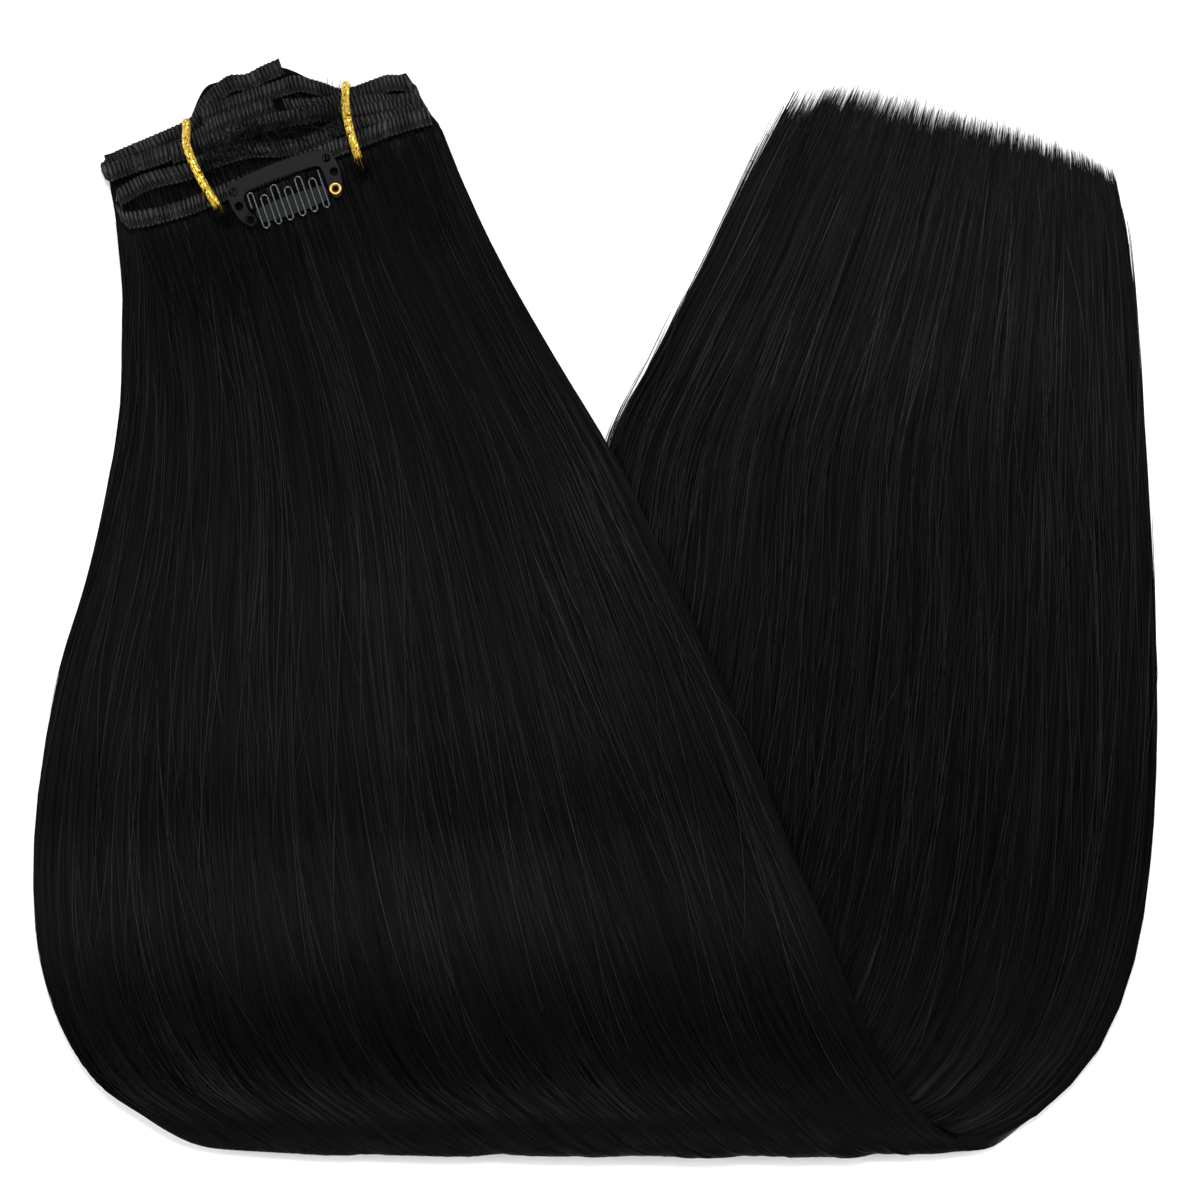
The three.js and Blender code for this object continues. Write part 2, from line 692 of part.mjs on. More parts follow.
// Turns a geometry into a manifold solid.
function toSolid(wasm, geometry) {
  const bare = new THREE.BufferGeometry();
  bare.setAttribute('position', geometry.attributes.position);
  bare.setIndex(geometry.index);
  const welded = mergeVertices(bare, weldDistance);
  return new wasm.Manifold(new wasm.Mesh({
    numProp: 3,
    vertProperties: Float32Array.from(welded.attributes.position.array),
    triVerts: Uint32Array.from(welded.index.array),
  }));
}

// Turns a manifold solid back into a geometry.
function toGeometry(solid) {
  const mesh = solid.getMesh();
  const geometry = new THREE.BufferGeometry();
  geometry.setAttribute('position', new THREE.BufferAttribute(mesh.vertProperties, 3));
  geometry.setIndex(new THREE.BufferAttribute(mesh.triVerts, 1));
  return geometry;
}

const wasm = await Module();
wasm.setup();
let hair = toSolid(wasm, hairFall());
Object.values(tiePaths).forEach((path) => {
  hair = hair.subtract(toSolid(wasm, tie(path, tieDiameter / 2 + tieGap)));
});

const finishes = {
  hair: { color: 0x0b0a0b, roughness: 0.45, metalness: 0 },
  weft: { color: 0x151314, roughness: 0.7, metalness: 0 },
  tie: { color: 0xc8a020, roughness: 0.35, metalness: 0.8 },
  lacquer: { color: 0x2a2c2d, roughness: 0.35, metalness: 0.6 },
  brass: { color: 0xe0b64e, roughness: 0.25, metalness: 1 },
};

// Gives a geometry its node name and its finish.
function named(name, geometry, finish) {
  const mesh = new THREE.Mesh(geometry, new THREE.MeshStandardMaterial(finishes[finish]));
  mesh.name = name;
  return mesh;
}

const part = new THREE.Group();
part.name = 'hair_extension';
part.add(
  named('hair_fall', toGeometry(hair), 'hair'),
  named('weft_back', weft(weftPaths.back, weftPaths.backUpper, -1), 'weft'),
  named('weft_second', weft(weftPaths.second, weftPaths.secondUpper, 1), 'weft'),
  named('weft_middle', weft(weftPaths.middle), 'weft'),
  named('weft_front', weft(weftPaths.upper, weftPaths.front, -1), 'weft'),
  named('tie_left', tie(tiePaths.left, tieDiameter / 2), 'tie'),
  named('tie_right', tie(tiePaths.right, tieDiameter / 2), 'tie'),
  named('clip_plate', clipPlate(), 'lacquer'),
  named('comb_leaf', combLeaf(), 'lacquer'),
  named('comb_wire', combWire(), 'lacquer'),
  named('eyelet_right', eyelet(eyeletPlaces.right), 'brass'),
  named('eyelet_left', eyelet(eyeletPlaces.left), 'lacquer'),
);

export default part;
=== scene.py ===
"""Dresses the folded clip in hair extension: hair, stitched wefts, ties and snap comb clip.

Lengths are in millimetres until a mesh is made, and +Z is up. The hair lies on the floor.
"""

from __future__ import annotations

import logging
import math
from dataclasses import dataclass, field, replace
from enum import Enum
from typing import Callable, Sequence

import bpy
import numpy as np
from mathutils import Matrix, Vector

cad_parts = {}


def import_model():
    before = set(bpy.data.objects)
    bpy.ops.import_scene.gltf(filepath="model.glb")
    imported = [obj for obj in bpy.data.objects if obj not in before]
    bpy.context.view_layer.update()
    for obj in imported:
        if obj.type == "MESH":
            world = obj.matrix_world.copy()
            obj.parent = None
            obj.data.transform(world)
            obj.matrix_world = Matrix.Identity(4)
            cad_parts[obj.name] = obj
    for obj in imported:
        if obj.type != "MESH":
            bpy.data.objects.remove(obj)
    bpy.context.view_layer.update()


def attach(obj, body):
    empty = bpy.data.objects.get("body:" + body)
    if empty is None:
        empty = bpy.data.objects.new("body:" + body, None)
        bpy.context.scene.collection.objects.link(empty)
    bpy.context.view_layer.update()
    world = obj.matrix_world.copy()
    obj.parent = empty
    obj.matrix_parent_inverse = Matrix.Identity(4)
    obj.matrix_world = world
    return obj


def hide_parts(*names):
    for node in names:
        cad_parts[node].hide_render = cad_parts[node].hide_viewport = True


METRES = 0.001
UP = np.array([0.0, 0.0, 1.0])
MULTIPLIED = {"data_type": "RGBA", "blend_type": "MULTIPLY"}
LOG = logging.getLogger("hair_extension")


class Body(Enum):
    """The rigid bodies of the part."""

    BUNDLE = "bundle"
    COMB = "comb"


class Slot(Enum):
    """The record's material slots."""

    HAIR = "hair"
    WEFT = "weft"
    TIE = "tie"
    LACQUER = "lacquer"
    BRASS = "brass"


def linear(hex_colour: str) -> tuple[float, float, float, float]:
    """Turns an sRGB hex colour to linear.

    Args:
        hex_colour: six hex digits, such as "1a1517".

    Returns:
        Red, green, blue and alpha, linear.
    """
    parts = [int(hex_colour[i : i + 2], 16) / 255 for i in (0, 2, 4)]
    made = [p / 12.92 if p <= 0.04045 else ((p + 0.055) / 1.055) ** 2.4 for p in parts]
    return (made[0], made[1], made[2], 1.0)


def node(
    tree: bpy.types.NodeTree,
    kind: str,
    settings: dict[str, object] | None = None,
    sockets: dict[str | int, object] | None = None,
    links: dict[str | int, bpy.types.NodeSocket] | None = None,
    stops: Sequence[tuple[float, str | float]] = (),
) -> bpy.types.Node:
    """Adds a shader node with its settings and links.

    Args:
        tree: the node tree it goes in.
        kind: Blender's type name of the node.
        settings: values of the node's own properties.
        sockets: values of its unlinked inputs.
        links: the outputs that its inputs are joined to.
        stops: place and tone of each stop of a colour ramp, as a hex colour or a linear grey.

    Returns:
        The new node.
    """
    made = tree.nodes.new(kind)
    for name, value in (settings or {}).items():
        setattr(made, name, value)
    for name, value in (sockets or {}).items():
        made.inputs[name].default_value = value
    for name, source in (links or {}).items():
        tree.links.new(source, made.inputs[name])
    for index, (place, tone) in enumerate(stops):
        elements = made.color_ramp.elements
        if index == 0:
            elements.remove(elements[1])
            elements[0].position = place
        stop = elements.new(place) if index else elements[0]
        stop.color = linear(tone) if isinstance(tone, str) else (tone, tone, tone, 1.0)
    return made


def fresh_material(name: str) -> tuple[bpy.types.Material, bpy.types.NodeTree]:
    """Makes an empty material.

    Args:
        name: the material's name.

    Returns:
        The material and its tree.
    """
    made = bpy.data.materials.new(name)
    made.use_nodes = True
    made.node_tree.nodes.clear()
    return made, made.node_tree


def smoothstep(x: np.ndarray | float, low: float, high: float) -> np.ndarray:
    """Eases from 0 at low to 1 at high."""
    t = np.clip((np.asarray(x, float) - low) / (high - low), 0.0, 1.0)
    return t * t * (3 - 2 * t)


def lattice_noise(x: np.ndarray, y: np.ndarray, seed: int) -> np.ndarray:
    """Smooth value noise from -1 to 1 over two coordinates.

    Args:
        x: first coordinate, one lattice step a unit.
        y: second coordinate.
        seed: the random seed.

    Returns:
        The noise, in the shape that x and y have together.
    """
    table = np.random.default_rng(seed).uniform(-1, 1, (256, 256))
    x, y = np.broadcast_arrays(np.asarray(x, float), np.asarray(y, float))
    i, j = np.floor(x).astype(int), np.floor(y).astype(int)
    fx, fy = smoothstep(x - i, 0, 1), smoothstep(y - j, 0, 1)
    low = table[i % 256, j % 256] * (1 - fx) + table[(i + 1) % 256, j % 256] * fx
    high = table[i % 256, (j + 1) % 256] * (1 - fx) + table[(i + 1) % 256, (j + 1) % 256] * fx
    return low * (1 - fy) + high * fy


def smooth_path(points: np.ndarray, places: np.ndarray) -> np.ndarray:
    """Reads a Catmull-Rom curve through points at fractional indices.

    Args:
        points: the points, first axis along the curve.
        places: indices into that axis, with fractions.

    Returns:
        The points there.
    """
    last = len(points) - 1
    i = np.clip(np.floor(places).astype(int), 0, last - 1)
    f = (places - i).reshape((-1,) + (1,) * (points.ndim - 1))
    shape = (-1,) + (1,) * (points.ndim - 1)
    has_before, has_after = (i > 0).reshape(shape), (i + 2 <= last).reshape(shape)
    before = np.where(has_before, points[np.maximum(i - 1, 0)], 2 * points[i] - points[i + 1])
    after = np.where(has_after, points[np.minimum(i + 2, last)], 2 * points[i + 1] - points[i])
    here, ahead = points[i], points[i + 1]
    return 0.5 * (
        2 * here
        + (ahead - before) * f
        + (2 * before - 5 * here + 4 * ahead - after) * f**2
        + (3 * here - before - 3 * ahead + after) * f**3
    )


def even_places(points: np.ndarray, step: float) -> np.ndarray:
    """Gives fractional indices that lie about one step apart along a curve.

    Args:
        points: the curve's points, two dimensional.
        step: the wanted distance between places.

    Returns:
        The indices, from the first point to the last.
    """
    fine = np.linspace(0, len(points) - 1, (len(points) - 1) * 24 + 1)
    run = smooth_path(points, fine)
    reach = np.concatenate([[0], np.cumsum(np.linalg.norm(np.diff(run, axis=0), axis=1))])
    count = max(2, int(round(reach[-1] / step)) + 1)
    return np.interp(np.linspace(0, reach[-1], count), reach, fine)


def make_piece(
    name: str,
    points: np.ndarray,
    faces: np.ndarray,
    finish: bpy.types.Material,
    body: Body,
    stands_for: Sequence[str] = (),
    coords: np.ndarray | None = None,
    smooth: bool = True,
) -> bpy.types.Object:
    """Makes one visible piece, dressed and riding on its body.

    Args:
        name: the piece's name.
        points: its vertices in millimetres.
        faces: its faces, all with the same number of corners.
        finish: the material.
        body: the body it rides on.
        stands_for: the solids that it replaces.
        coords: a surface coordinate for each vertex, in millimetres.
        smooth: whether it is shaded smooth.

    Returns:
        The new object.
    """
    mesh = bpy.data.meshes.new(name)
    points = points.reshape(-1, 3)
    corners = faces.shape[1]
    mesh.vertices.add(len(points))
    mesh.vertices.foreach_set("co", (points * METRES).astype(np.float32).ravel())
    mesh.loops.add(faces.size)
    mesh.loops.foreach_set("vertex_index", faces.astype(np.int32).ravel())
    mesh.polygons.add(len(faces))
    mesh.polygons.foreach_set("loop_start", np.arange(0, faces.size, corners, dtype=np.int32))
    mesh.update(calc_edges=True)
    mesh.polygons.foreach_set("use_smooth", np.full(len(faces), smooth))
    if coords is not None:
        layer = mesh.uv_layers.new(name="surface")
        layer.data.foreach_set("uv", coords.reshape(-1, 2)[faces.ravel()].astype(np.float32).ravel())
    mesh.materials.append(finish)
    mesh.validate()
    made = bpy.data.objects.new(name, mesh)
    bpy.context.scene.collection.objects.link(made)
    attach(made, body.value)
    if stands_for:
        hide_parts(*stands_for)
    LOG.info("%s: %d faces", name, len(faces))
    return made


def loop_faces(rings: int, sides: int, closed_run: bool, closed_ring: bool = True) -> np.ndarray:
    """Gives the quads that skin a list of rings.

    Args:
        rings: how many rings there are.
        sides: how many points each has.
        closed_run: whether the last ring joins the first.
        closed_ring: whether each ring's last point joins its first.

    Returns:
        The quads.
    """
    i = np.arange(rings if closed_run else rings - 1)[:, None]
    j = np.arange(sides if closed_ring else sides - 1)[None, :]
    here, ahead = i * sides, ((i + 1) % rings) * sides
    side = (j + 1) % sides
    return np.stack([here + j, here + side, ahead + side, ahead + j], axis=-1).reshape(-1, 4)


def tube_rings(path: np.ndarray, radii: np.ndarray, sides: int, closed: bool, up: np.ndarray) -> np.ndarray:
    """Gives the rings of a round tube along a path.

    Args:
        path: the points of its middle.
        radii: its radius at each ring and corner, or at each ring.
        sides: the corners of a ring.
        closed: whether the path runs round.
        up: a direction that the path never follows.

    Returns:
        The points, ring by ring.
    """
    ahead = np.roll(path, -1, axis=0) - np.roll(path, 1, axis=0)
    if not closed:
        ahead[0], ahead[-1] = path[1] - path[0], path[-1] - path[-2]
    ahead /= np.linalg.norm(ahead, axis=1, keepdims=True)
    side = np.cross(np.broadcast_to(up, path.shape), ahead)
    side /= np.linalg.norm(side, axis=1, keepdims=True)
    out = np.cross(ahead, side)
    angle = 2 * np.pi * np.arange(sides) / sides
    spread = np.cos(angle)[None, :, None] * side[:, None] + np.sin(angle)[None, :, None] * out[:, None]
    radii = radii[:, None] if radii.ndim == 1 else radii
    return path[:, None] + spread * radii[..., None]


def cap_fans(sides: int, rings: int) -> np.ndarray:
    """Gives the quads that close both ends of a tube with an even number of sides."""
    faces = []
    for base, turn in ((0, -1), ((rings - 1) * sides, 1)):
        for k in range(sides // 2 - 1):
            quad = [base + k, base + k + 1, base + sides - 2 - k, base + sides - 1 - k]
            faces.append(quad[::turn])
    return np.array(faces)


def lay_ribbons(
    name: str,
    finish: bpy.types.Material,
    points: np.ndarray,
    normal: np.ndarray,
    width: np.ndarray,
    rng: np.random.Generator,
    roll: float,
    run_at: np.ndarray,
) -> bpy.types.Object:
    """Makes flat strands of hair along paths, each rolled a little its own way.

    Args:
        name: the piece's name.
        finish: the material.
        points: the paths, strand by station.
        normal: outward directions there.
        width: the width of each strand.
        rng: the random source.
        roll: the largest roll in radians.
        run_at: millimetres from the roots, strand by station.

    Returns:
        The piece.
    """
    count, stations = points.shape[:2]
    run = np.gradient(points, axis=1)
    run /= np.maximum(np.linalg.norm(run, axis=-1, keepdims=True), 1e-9)
    side = np.cross(run, normal)
    side /= np.maximum(np.linalg.norm(side, axis=-1, keepdims=True), 1e-9)
    out = np.cross(side, run)
    angle = rng.uniform(-roll, roll, count)[:, None, None]
    across = side * np.cos(angle) + out * np.sin(angle)
    along = np.linspace(0, 1, stations)
    taper = np.minimum(1, 6 * (1 - along) + 0.12) * np.minimum(1, 10 * along + 0.3)
    half = (width[:, None] * taper[None, :] / 2)[..., None]
    pair = np.stack([points - across * half, points + across * half], axis=2)
    base = (np.arange(count)[:, None] * stations + np.arange(stations - 1)[None, :]) * 2
    faces = np.stack([base, base + 1, base + 3, base + 2], axis=-1).reshape(-1, 4)
    u = rng.uniform(0, 400, count)[:, None, None] + np.array([0.0, 0.3]) * np.ones((1, stations, 1))
    lengths = np.broadcast_to(run_at, (count, stations))[..., None]
    coords = np.stack([u, np.broadcast_to(lengths, u.shape)], axis=-1)
    return make_piece(name, pair, faces, finish, Body.BUNDLE, coords=coords)


# The finishes


@dataclass(frozen=True)
class HairFibre:
    """Dyed human hair, washed and combed: near black, with a soft sheen across the strands and painted bands
    of sheen and shade along them.
    """

    dark: str = "030303"
    light: str = "131212"
    roughness: float = 0.36
    gloss: float = 0.018
    strand_pitch: float = 0.5
    strand_run: float = 60.0
    relief_depth: float = 0.15
    hair_run: float = 642.6
    ragged: float = 0.05
    # Painted sheen and shade: a grey level for each share of the run from the roots, lighter where the hair's
    # waves catch the light and darker where they turn from it.
    tone: tuple[tuple[float, float], ...] = (
        (0.0, 0.7), (0.095, 0.7), (0.15, 0.75), (0.21, 0.8), (0.29, 0.8), (0.325, 0.55), (0.35, 1.1),
        (0.375, 1.1), (0.413, 0.35), (0.445, 0.25), (0.47, 1.0), (0.52, 0.9), (0.571, 1.0), (0.61, 0.7),
        (0.667, 0.3), (0.70, 0.3), (0.762, 0.45), (0.857, 0.55), (0.92, 0.95), (1.0, 1.0),
    )

    def material(self, name: str, relief: float) -> bpy.types.Material:
        """Makes the hair material.

        Args:
            name: the material's name.
            relief: strength of the fine strand relief.

        Returns:
            The material.
        """
        made, tree = fresh_material(name)
        place = node(tree, "ShaderNodeUVMap", {"uv_map": "surface"}).outputs["UV"]
        # Each strand is far thinner than a pixel, so the streaks are drawn about half a millimetre wide.
        scale = (1 / self.strand_pitch, 1 / self.strand_run, 1.0)
        streaks = node(tree, "ShaderNodeMapping", sockets={"Scale": scale}, links={"Vector": place})
        noise = node(
            tree, "ShaderNodeTexNoise", sockets={"Scale": 1.0, "Detail": 3.0, "Roughness": 0.65},
            links={"Vector": streaks.outputs["Vector"]},
        ).outputs["Fac"]
        dyed = node(
            tree, "ShaderNodeValToRGB", links={"Fac": noise}, stops=((0.4, self.dark), (0.78, self.light))
        )
        bump = node(
            tree, "ShaderNodeBump", sockets={"Strength": relief, "Distance": self.relief_depth * METRES},
            links={"Height": noise},
        )
        # Sheen and shade are painted along the hair, in broad light and dark bands with ragged edges, where
        # the slow waves of the combed hair catch or miss the light.
        apart = node(tree, "ShaderNodeSeparateXYZ", links={"Vector": place})
        sheen_band_jitter = node(
            tree, "ShaderNodeMapRange", sockets={"To Min": -self.ragged, "To Max": self.ragged},
            links={"Value": noise},
        )
        level = node(
            tree, "ShaderNodeMath", {"operation": "MULTIPLY_ADD"}, {1: 1 / self.hair_run},
            {0: apart.outputs["Y"], 2: sheen_band_jitter.outputs["Result"]},
        )
        bands = node(tree, "ShaderNodeValToRGB", links={"Fac": level.outputs["Value"]}, stops=self.tone)
        colour = node(
            tree, "ShaderNodeMix", MULTIPLIED, {"Factor": 1.0},
            {6: dyed.outputs["Color"], 7: bands.outputs["Color"]},
        )
        shader = node(
            tree, "ShaderNodeBsdfPrincipled",
            sockets={"Roughness": self.roughness, "IOR": 1.55, "Specular IOR Level": self.gloss},
            links={"Base Color": colour.outputs[2], "Normal": bump.outputs["Normal"]},
        )
        node(tree, "ShaderNodeOutputMaterial", links={"Surface": shader.outputs["BSDF"]})
        return made


@dataclass(frozen=True)
class StitchedWeft:
    """Hair roots sewn over by machine with black polyester thread: ribs with a painted highlight on each
    crest and painted black shade in the gaps.
    """

    # Painted shade in the gaps, the thread's own dark and a painted highlight on the crests.
    gap: str = "000000"
    dark: str = "060506"
    light: str = "2e2d2d"
    roughness: float = 0.38
    gloss: float = 0.08
    rib_pitch: float = 1.27
    width: float = 5.0
    grain: tuple[float, float] = (0.25, 3.0)
    patch: tuple[float, float] = (9.0, 4.0)
    # Painted shade across each band: the crest highlight kept to its back, its front painted darker where the
    # next band up shades it.
    across: tuple[tuple[float, float], ...] = (
        (0.0, 0.5), (0.1, 1.0), (0.5, 0.9), (0.68, 0.2), (0.84, 0.15), (0.92, 1.0), (1.0, 0.6),
    )
    matting: tuple[tuple[float, float], ...] = ((0.36, 0.3), (0.58, 1.0))

    def material(self) -> bpy.types.Material:
        """Makes the weft material.

        Returns:
            The material.
        """
        made, tree = fresh_material("stitched_hair_roots")
        place = node(tree, "ShaderNodeUVMap", {"uv_map": "surface"}).outputs["UV"]
        # Roots lie across the weft, so the grain is fine along it and long across it. Short hairs
        # also lie over the ribs in places, in patches about 9 mm long and 4 mm wide.
        noises = []
        for (along, over), detail, rough in ((self.grain, 2.0, 0.6), (self.patch, 3.0, 0.5)):
            scale = (1 / along, 1 / over, 1.0)
            stretched = node(tree, "ShaderNodeMapping", sockets={"Scale": scale}, links={"Vector": place})
            noises.append(
                node(
                    tree, "ShaderNodeTexNoise", sockets={"Scale": 1.0, "Detail": detail, "Roughness": rough},
                    links={"Vector": stretched.outputs["Vector"]},
                ).outputs["Fac"]
            )
        grain, matted = noises
        apart = node(tree, "ShaderNodeSeparateXYZ", links={"Vector": place})
        turn = node(
            tree, "ShaderNodeMath", {"operation": "MULTIPLY"}, {1: 2 * math.pi / self.rib_pitch},
            {0: apart.outputs["X"]},
        )
        wave = node(tree, "ShaderNodeMath", {"operation": "COSINE"}, links={0: turn.outputs["Value"]})
        # Each rib's crest is painted light and its valley painted black, as highlight and shade, mixed with
        # the grain.
        painted_crest_light = node(
            tree, "ShaderNodeMapRange", sockets={"From Min": 1.0, "From Max": -1.0},
            links={"Value": wave.outputs["Value"]},
        )
        uneven = node(
            tree, "ShaderNodeMath", {"operation": "MULTIPLY_ADD"}, {1: 0.9},
            {0: grain, 2: painted_crest_light.outputs["Result"]},
        )
        colour = node(
            tree, "ShaderNodeValToRGB", links={"Fac": uneven.outputs["Value"]},
            stops=((0.56, self.gap), (0.86, self.dark), (1.0, self.light)),
        ).outputs["Color"]
        # The painted crest highlight shows at the back of each band; its front is painted darker as shade
        # under the next band, up to the beaded thread.
        level = node(
            tree, "ShaderNodeMapRange", sockets={"From Min": -self.width / 2, "From Max": self.width / 2},
            links={"Value": apart.outputs["Y"]},
        )
        for source, stops in ((level.outputs["Result"], self.across), (matted, self.matting)):
            shade = node(tree, "ShaderNodeValToRGB", links={"Fac": source}, stops=stops)
            colour = node(
                tree, "ShaderNodeMix", MULTIPLIED, {"Factor": 1.0}, {6: colour, 7: shade.outputs["Color"]}
            ).outputs[2]
        bump = node(
            tree, "ShaderNodeBump", sockets={"Strength": 0.5, "Distance": 0.1 * METRES},
            links={"Height": grain},
        )
        shader = node(
            tree, "ShaderNodeBsdfPrincipled",
            sockets={"Roughness": self.roughness, "IOR": 1.55, "Specular IOR Level": self.gloss},
            links={"Base Color": colour, "Normal": bump.outputs["Normal"]},
        )
        node(tree, "ShaderNodeOutputMaterial", links={"Surface": shader.outputs["BSDF"]})
        return made


@dataclass(frozen=True)
class TinselYarn:
    """Elastic braided over with gold lame yarn: metal flakes, some painted bright as glints and some painted
    dark as shade in the gaps.
    """

    # Flake colours: painted shade, the gold itself and a painted glint.
    painted_shade_flake: str = "3c2401"
    gold: str = "cba435"
    glint: str = "ffee86"
    flake: float = 0.45
    relief_depth: float = 0.2

    def material(self) -> bpy.types.Material:
        """Makes the tinsel material.

        Returns:
            The material.
        """
        made, tree = fresh_material("gold_lame_tinsel")
        place = node(tree, "ShaderNodeUVMap", {"uv_map": "surface"}).outputs["UV"]
        cells = node(
            tree, "ShaderNodeTexVoronoi", sockets={"Scale": 1 / self.flake, "Randomness": 1.0},
            links={"Vector": place},
        )
        # Each flake takes its own tilt and its own colour, from painted shade through gold to a painted
        # glint, so single ones flash and others go dark.
        tone = node(tree, "ShaderNodeSeparateColor", links={"Color": cells.outputs["Color"]})
        colour = node(
            tree, "ShaderNodeValToRGB", links={"Fac": tone.outputs["Red"]},
            stops=((0.08, self.painted_shade_flake), (0.28, self.gold), (0.72, self.gold), (0.95, self.glint)),
        )
        bump = node(
            tree, "ShaderNodeBump", sockets={"Strength": 0.9, "Distance": self.relief_depth * METRES},
            links={"Height": tone.outputs["Green"]},
        )
        shader = node(
            tree, "ShaderNodeBsdfPrincipled",
            sockets={"Roughness": 0.34, "Metallic": 0.6, "Specular IOR Level": 0.1},
            links={"Base Color": colour.outputs["Color"], "Normal": bump.outputs["Normal"]},
        )
        node(tree, "ShaderNodeOutputMaterial", links={"Surface": shader.outputs["BSDF"]})
        return made


@dataclass(frozen=True)
class LacqueredSteel:
    """Spring steel, stamped and dipped in black lacquer: dark, smooth and softly glossy."""

    name: str
    colour: str
    roughness: float
    metallic: float = 0.0
    gloss: float = 0.2
    pool: float = 2.0

    def material(self) -> bpy.types.Material:
        """Makes the lacquer material.

        Returns:
            The material.
        """
        made, tree = fresh_material(self.name)
        place = node(tree, "ShaderNodeTexCoord").outputs["Object"]
        # Lacquer pools a little over about 2 mm, which breaks the gloss up softly.
        noise = node(
            tree, "ShaderNodeTexNoise", sockets={"Scale": 1 / (self.pool * METRES), "Detail": 3.0},
            links={"Vector": place},
        )
        bump = node(
            tree, "ShaderNodeBump", sockets={"Strength": 0.12, "Distance": 0.1 * METRES},
            links={"Height": noise.outputs["Fac"]},
        )
        shader = node(
            tree, "ShaderNodeBsdfPrincipled",
            sockets={
                "Base Color": linear(self.colour), "Roughness": self.roughness, "Metallic": self.metallic,
                "Specular IOR Level": self.gloss,
            },
            links={"Normal": bump.outputs["Normal"]},
        )
        node(tree, "ShaderNodeOutputMaterial", links={"Surface": shader.outputs["BSDF"]})
        return made


@dataclass(frozen=True)
class TurnedBrass:
    """A rolled brass rivet, bright and a little worn."""

    colour: str = "b9954e"
    wear: float = 0.6
    smoothest: float = 0.34
    roughest: float = 0.46

    def material(self) -> bpy.types.Material:
        """Makes the brass material.

        Returns:
            The material.
        """
        made, tree = fresh_material("rolled_brass")
        place = node(tree, "ShaderNodeTexCoord").outputs["Object"]
        # Handling dulls the rim in spots of about half a millimetre, so its shine isn't even.
        noise = node(
            tree, "ShaderNodeTexNoise", sockets={"Scale": 1 / (self.wear * METRES), "Detail": 4.0},
            links={"Vector": place},
        )
        worn = node(
            tree, "ShaderNodeMapRange",
            sockets={"From Min": 0.3, "From Max": 0.7, "To Min": self.smoothest, "To Max": self.roughest},
            links={"Value": noise.outputs["Fac"]},
        )
        shader = node(
            tree, "ShaderNodeBsdfPrincipled",
            sockets={"Base Color": linear(self.colour), "Metallic": 1.0},
            links={"Roughness": worn.outputs["Result"]},
        )
        node(tree, "ShaderNodeOutputMaterial", links={"Surface": shader.outputs["BSDF"]})
        return made


# The fall of hair


@dataclass(frozen=True)
class Row:
    """One row across the hair, in shares of the spread, root thickness, fold lift or lock depth."""

    left_x: float
    left_y: float
    right_x: float
    right_y: float
    swell: float
    bow: float
    thick: float
    lift: float
    edge: float


UPPER_ROWS = (
    Row(-0.438, 0.412, -0.169, 0.487, 0.037, 0, 0.2, 0, 0.9),
    Row(-0.435, 0.399, -0.165, 0.481, 0.031, 0, 0.21, 0, 0.9),
    Row(-0.433, 0.388, -0.161, 0.475, 0.025, 0, 0.335, 0, 0.9),
    Row(-0.432, 0.380, -0.158, 0.469, 0.019, 0, 0.465, 0, 0.85),
    Row(-0.429, 0.366, -0.153, 0.460, 0.015, 0, 0.62, 0, 0.75),
    Row(-0.427, 0.352, -0.146, 0.448, 0.013, 0, 0.76, 0, 0.7),
    Row(-0.425, 0.335, -0.139, 0.439, 0, 0, 0.925, 0, 0.65),
    Row(-0.423, 0.316, -0.132, 0.421, 0, 0, 0.95, 0, 0.6),
    Row(-0.420, 0.293, -0.124, 0.400, 0, 0, 0.84, 0, 0.5),
    Row(-0.421, 0.245, -0.088, 0.320, 0, 0, 0.71, 0, 0.4),
    Row(-0.423, 0.183, -0.037, 0.228, 0, 0, 0.59, 0, 0.3),
    Row(-0.435, 0.108, 0.013, 0.142, 0, 0, 0.5, 0, 0.25),
    Row(-0.4525, 0.028, 0.054, 0.056, 0, 0, 0.44, 0.04, 0.25),
    Row(-0.4765, -0.055, 0.097, -0.035, 0, 0, 0.42, 0.1, 0.25),
    Row(-0.493, -0.145, 0.137, -0.128, 0, 0, 0.4, 0.15, 0.25),
    Row(-0.500, -0.230, 0.172, -0.218, 0, 0, 0.42, 0.3, 0.25),
    Row(-0.496, -0.310, 0.205, -0.298, 0, 0.003, 0.46, 0.5, 0.28),
    Row(-0.4765, -0.380, 0.233, -0.368, 0, 0.006, 0.52, 0.74, 0.3),
    Row(-0.445, -0.432, 0.262, -0.423, 0, 0.006, 0.58, 0.94, 0.34),
    Row(-0.401, -0.464, 0.292, -0.464, 0, 0, 0.6, 1, 0.4),
)

LOWER_ROWS = (
    Row(-0.272, -0.466, 0.385, -0.468, 0, 0, 1.5, 0, 0.4),
    Row(-0.206, -0.440, 0.418, -0.440, 0, 0.016, 1.48, 0, 0.34),
    Row(-0.140, -0.385, 0.454, -0.392, 0, 0.018, 1.4, 0, 0.3),
    Row(-0.092, -0.305, 0.4815, -0.316, 0, 0.012, 1.28, 0, 0.26),
    Row(-0.058, -0.203, 0.495, -0.226, 0, 0.005, 1.16, 0, 0.24),
    Row(-0.032, -0.094, 0.500, -0.121, 0, 0, 1.06, 0, 0.22),
    Row(-0.009, 0.020, 0.498, -0.003, 0, 0, 1, 0, 0.22),
    Row(0.012, 0.145, 0.492, 0.116, 0, 0, 0.96, 0, 0.22),
    Row(0.057, 0.235, 0.486, 0.210, 0, 0, 0.9, 0, 0.22),
    Row(0.103, 0.322, 0.480, 0.284, 0, 0, 0.8, 0, 0.24),
    Row(0.137, 0.392, 0.474, 0.335, 0, 0, 0.66, 0, 0.28),
    Row(0.1585, 0.434, 0.4695, 0.360, 0, 0, 0.5, 0, 0.34),
    Row(0.180, 0.476, 0.465, 0.384, 0, -0.006, 0.26, 0, 0.4),
)


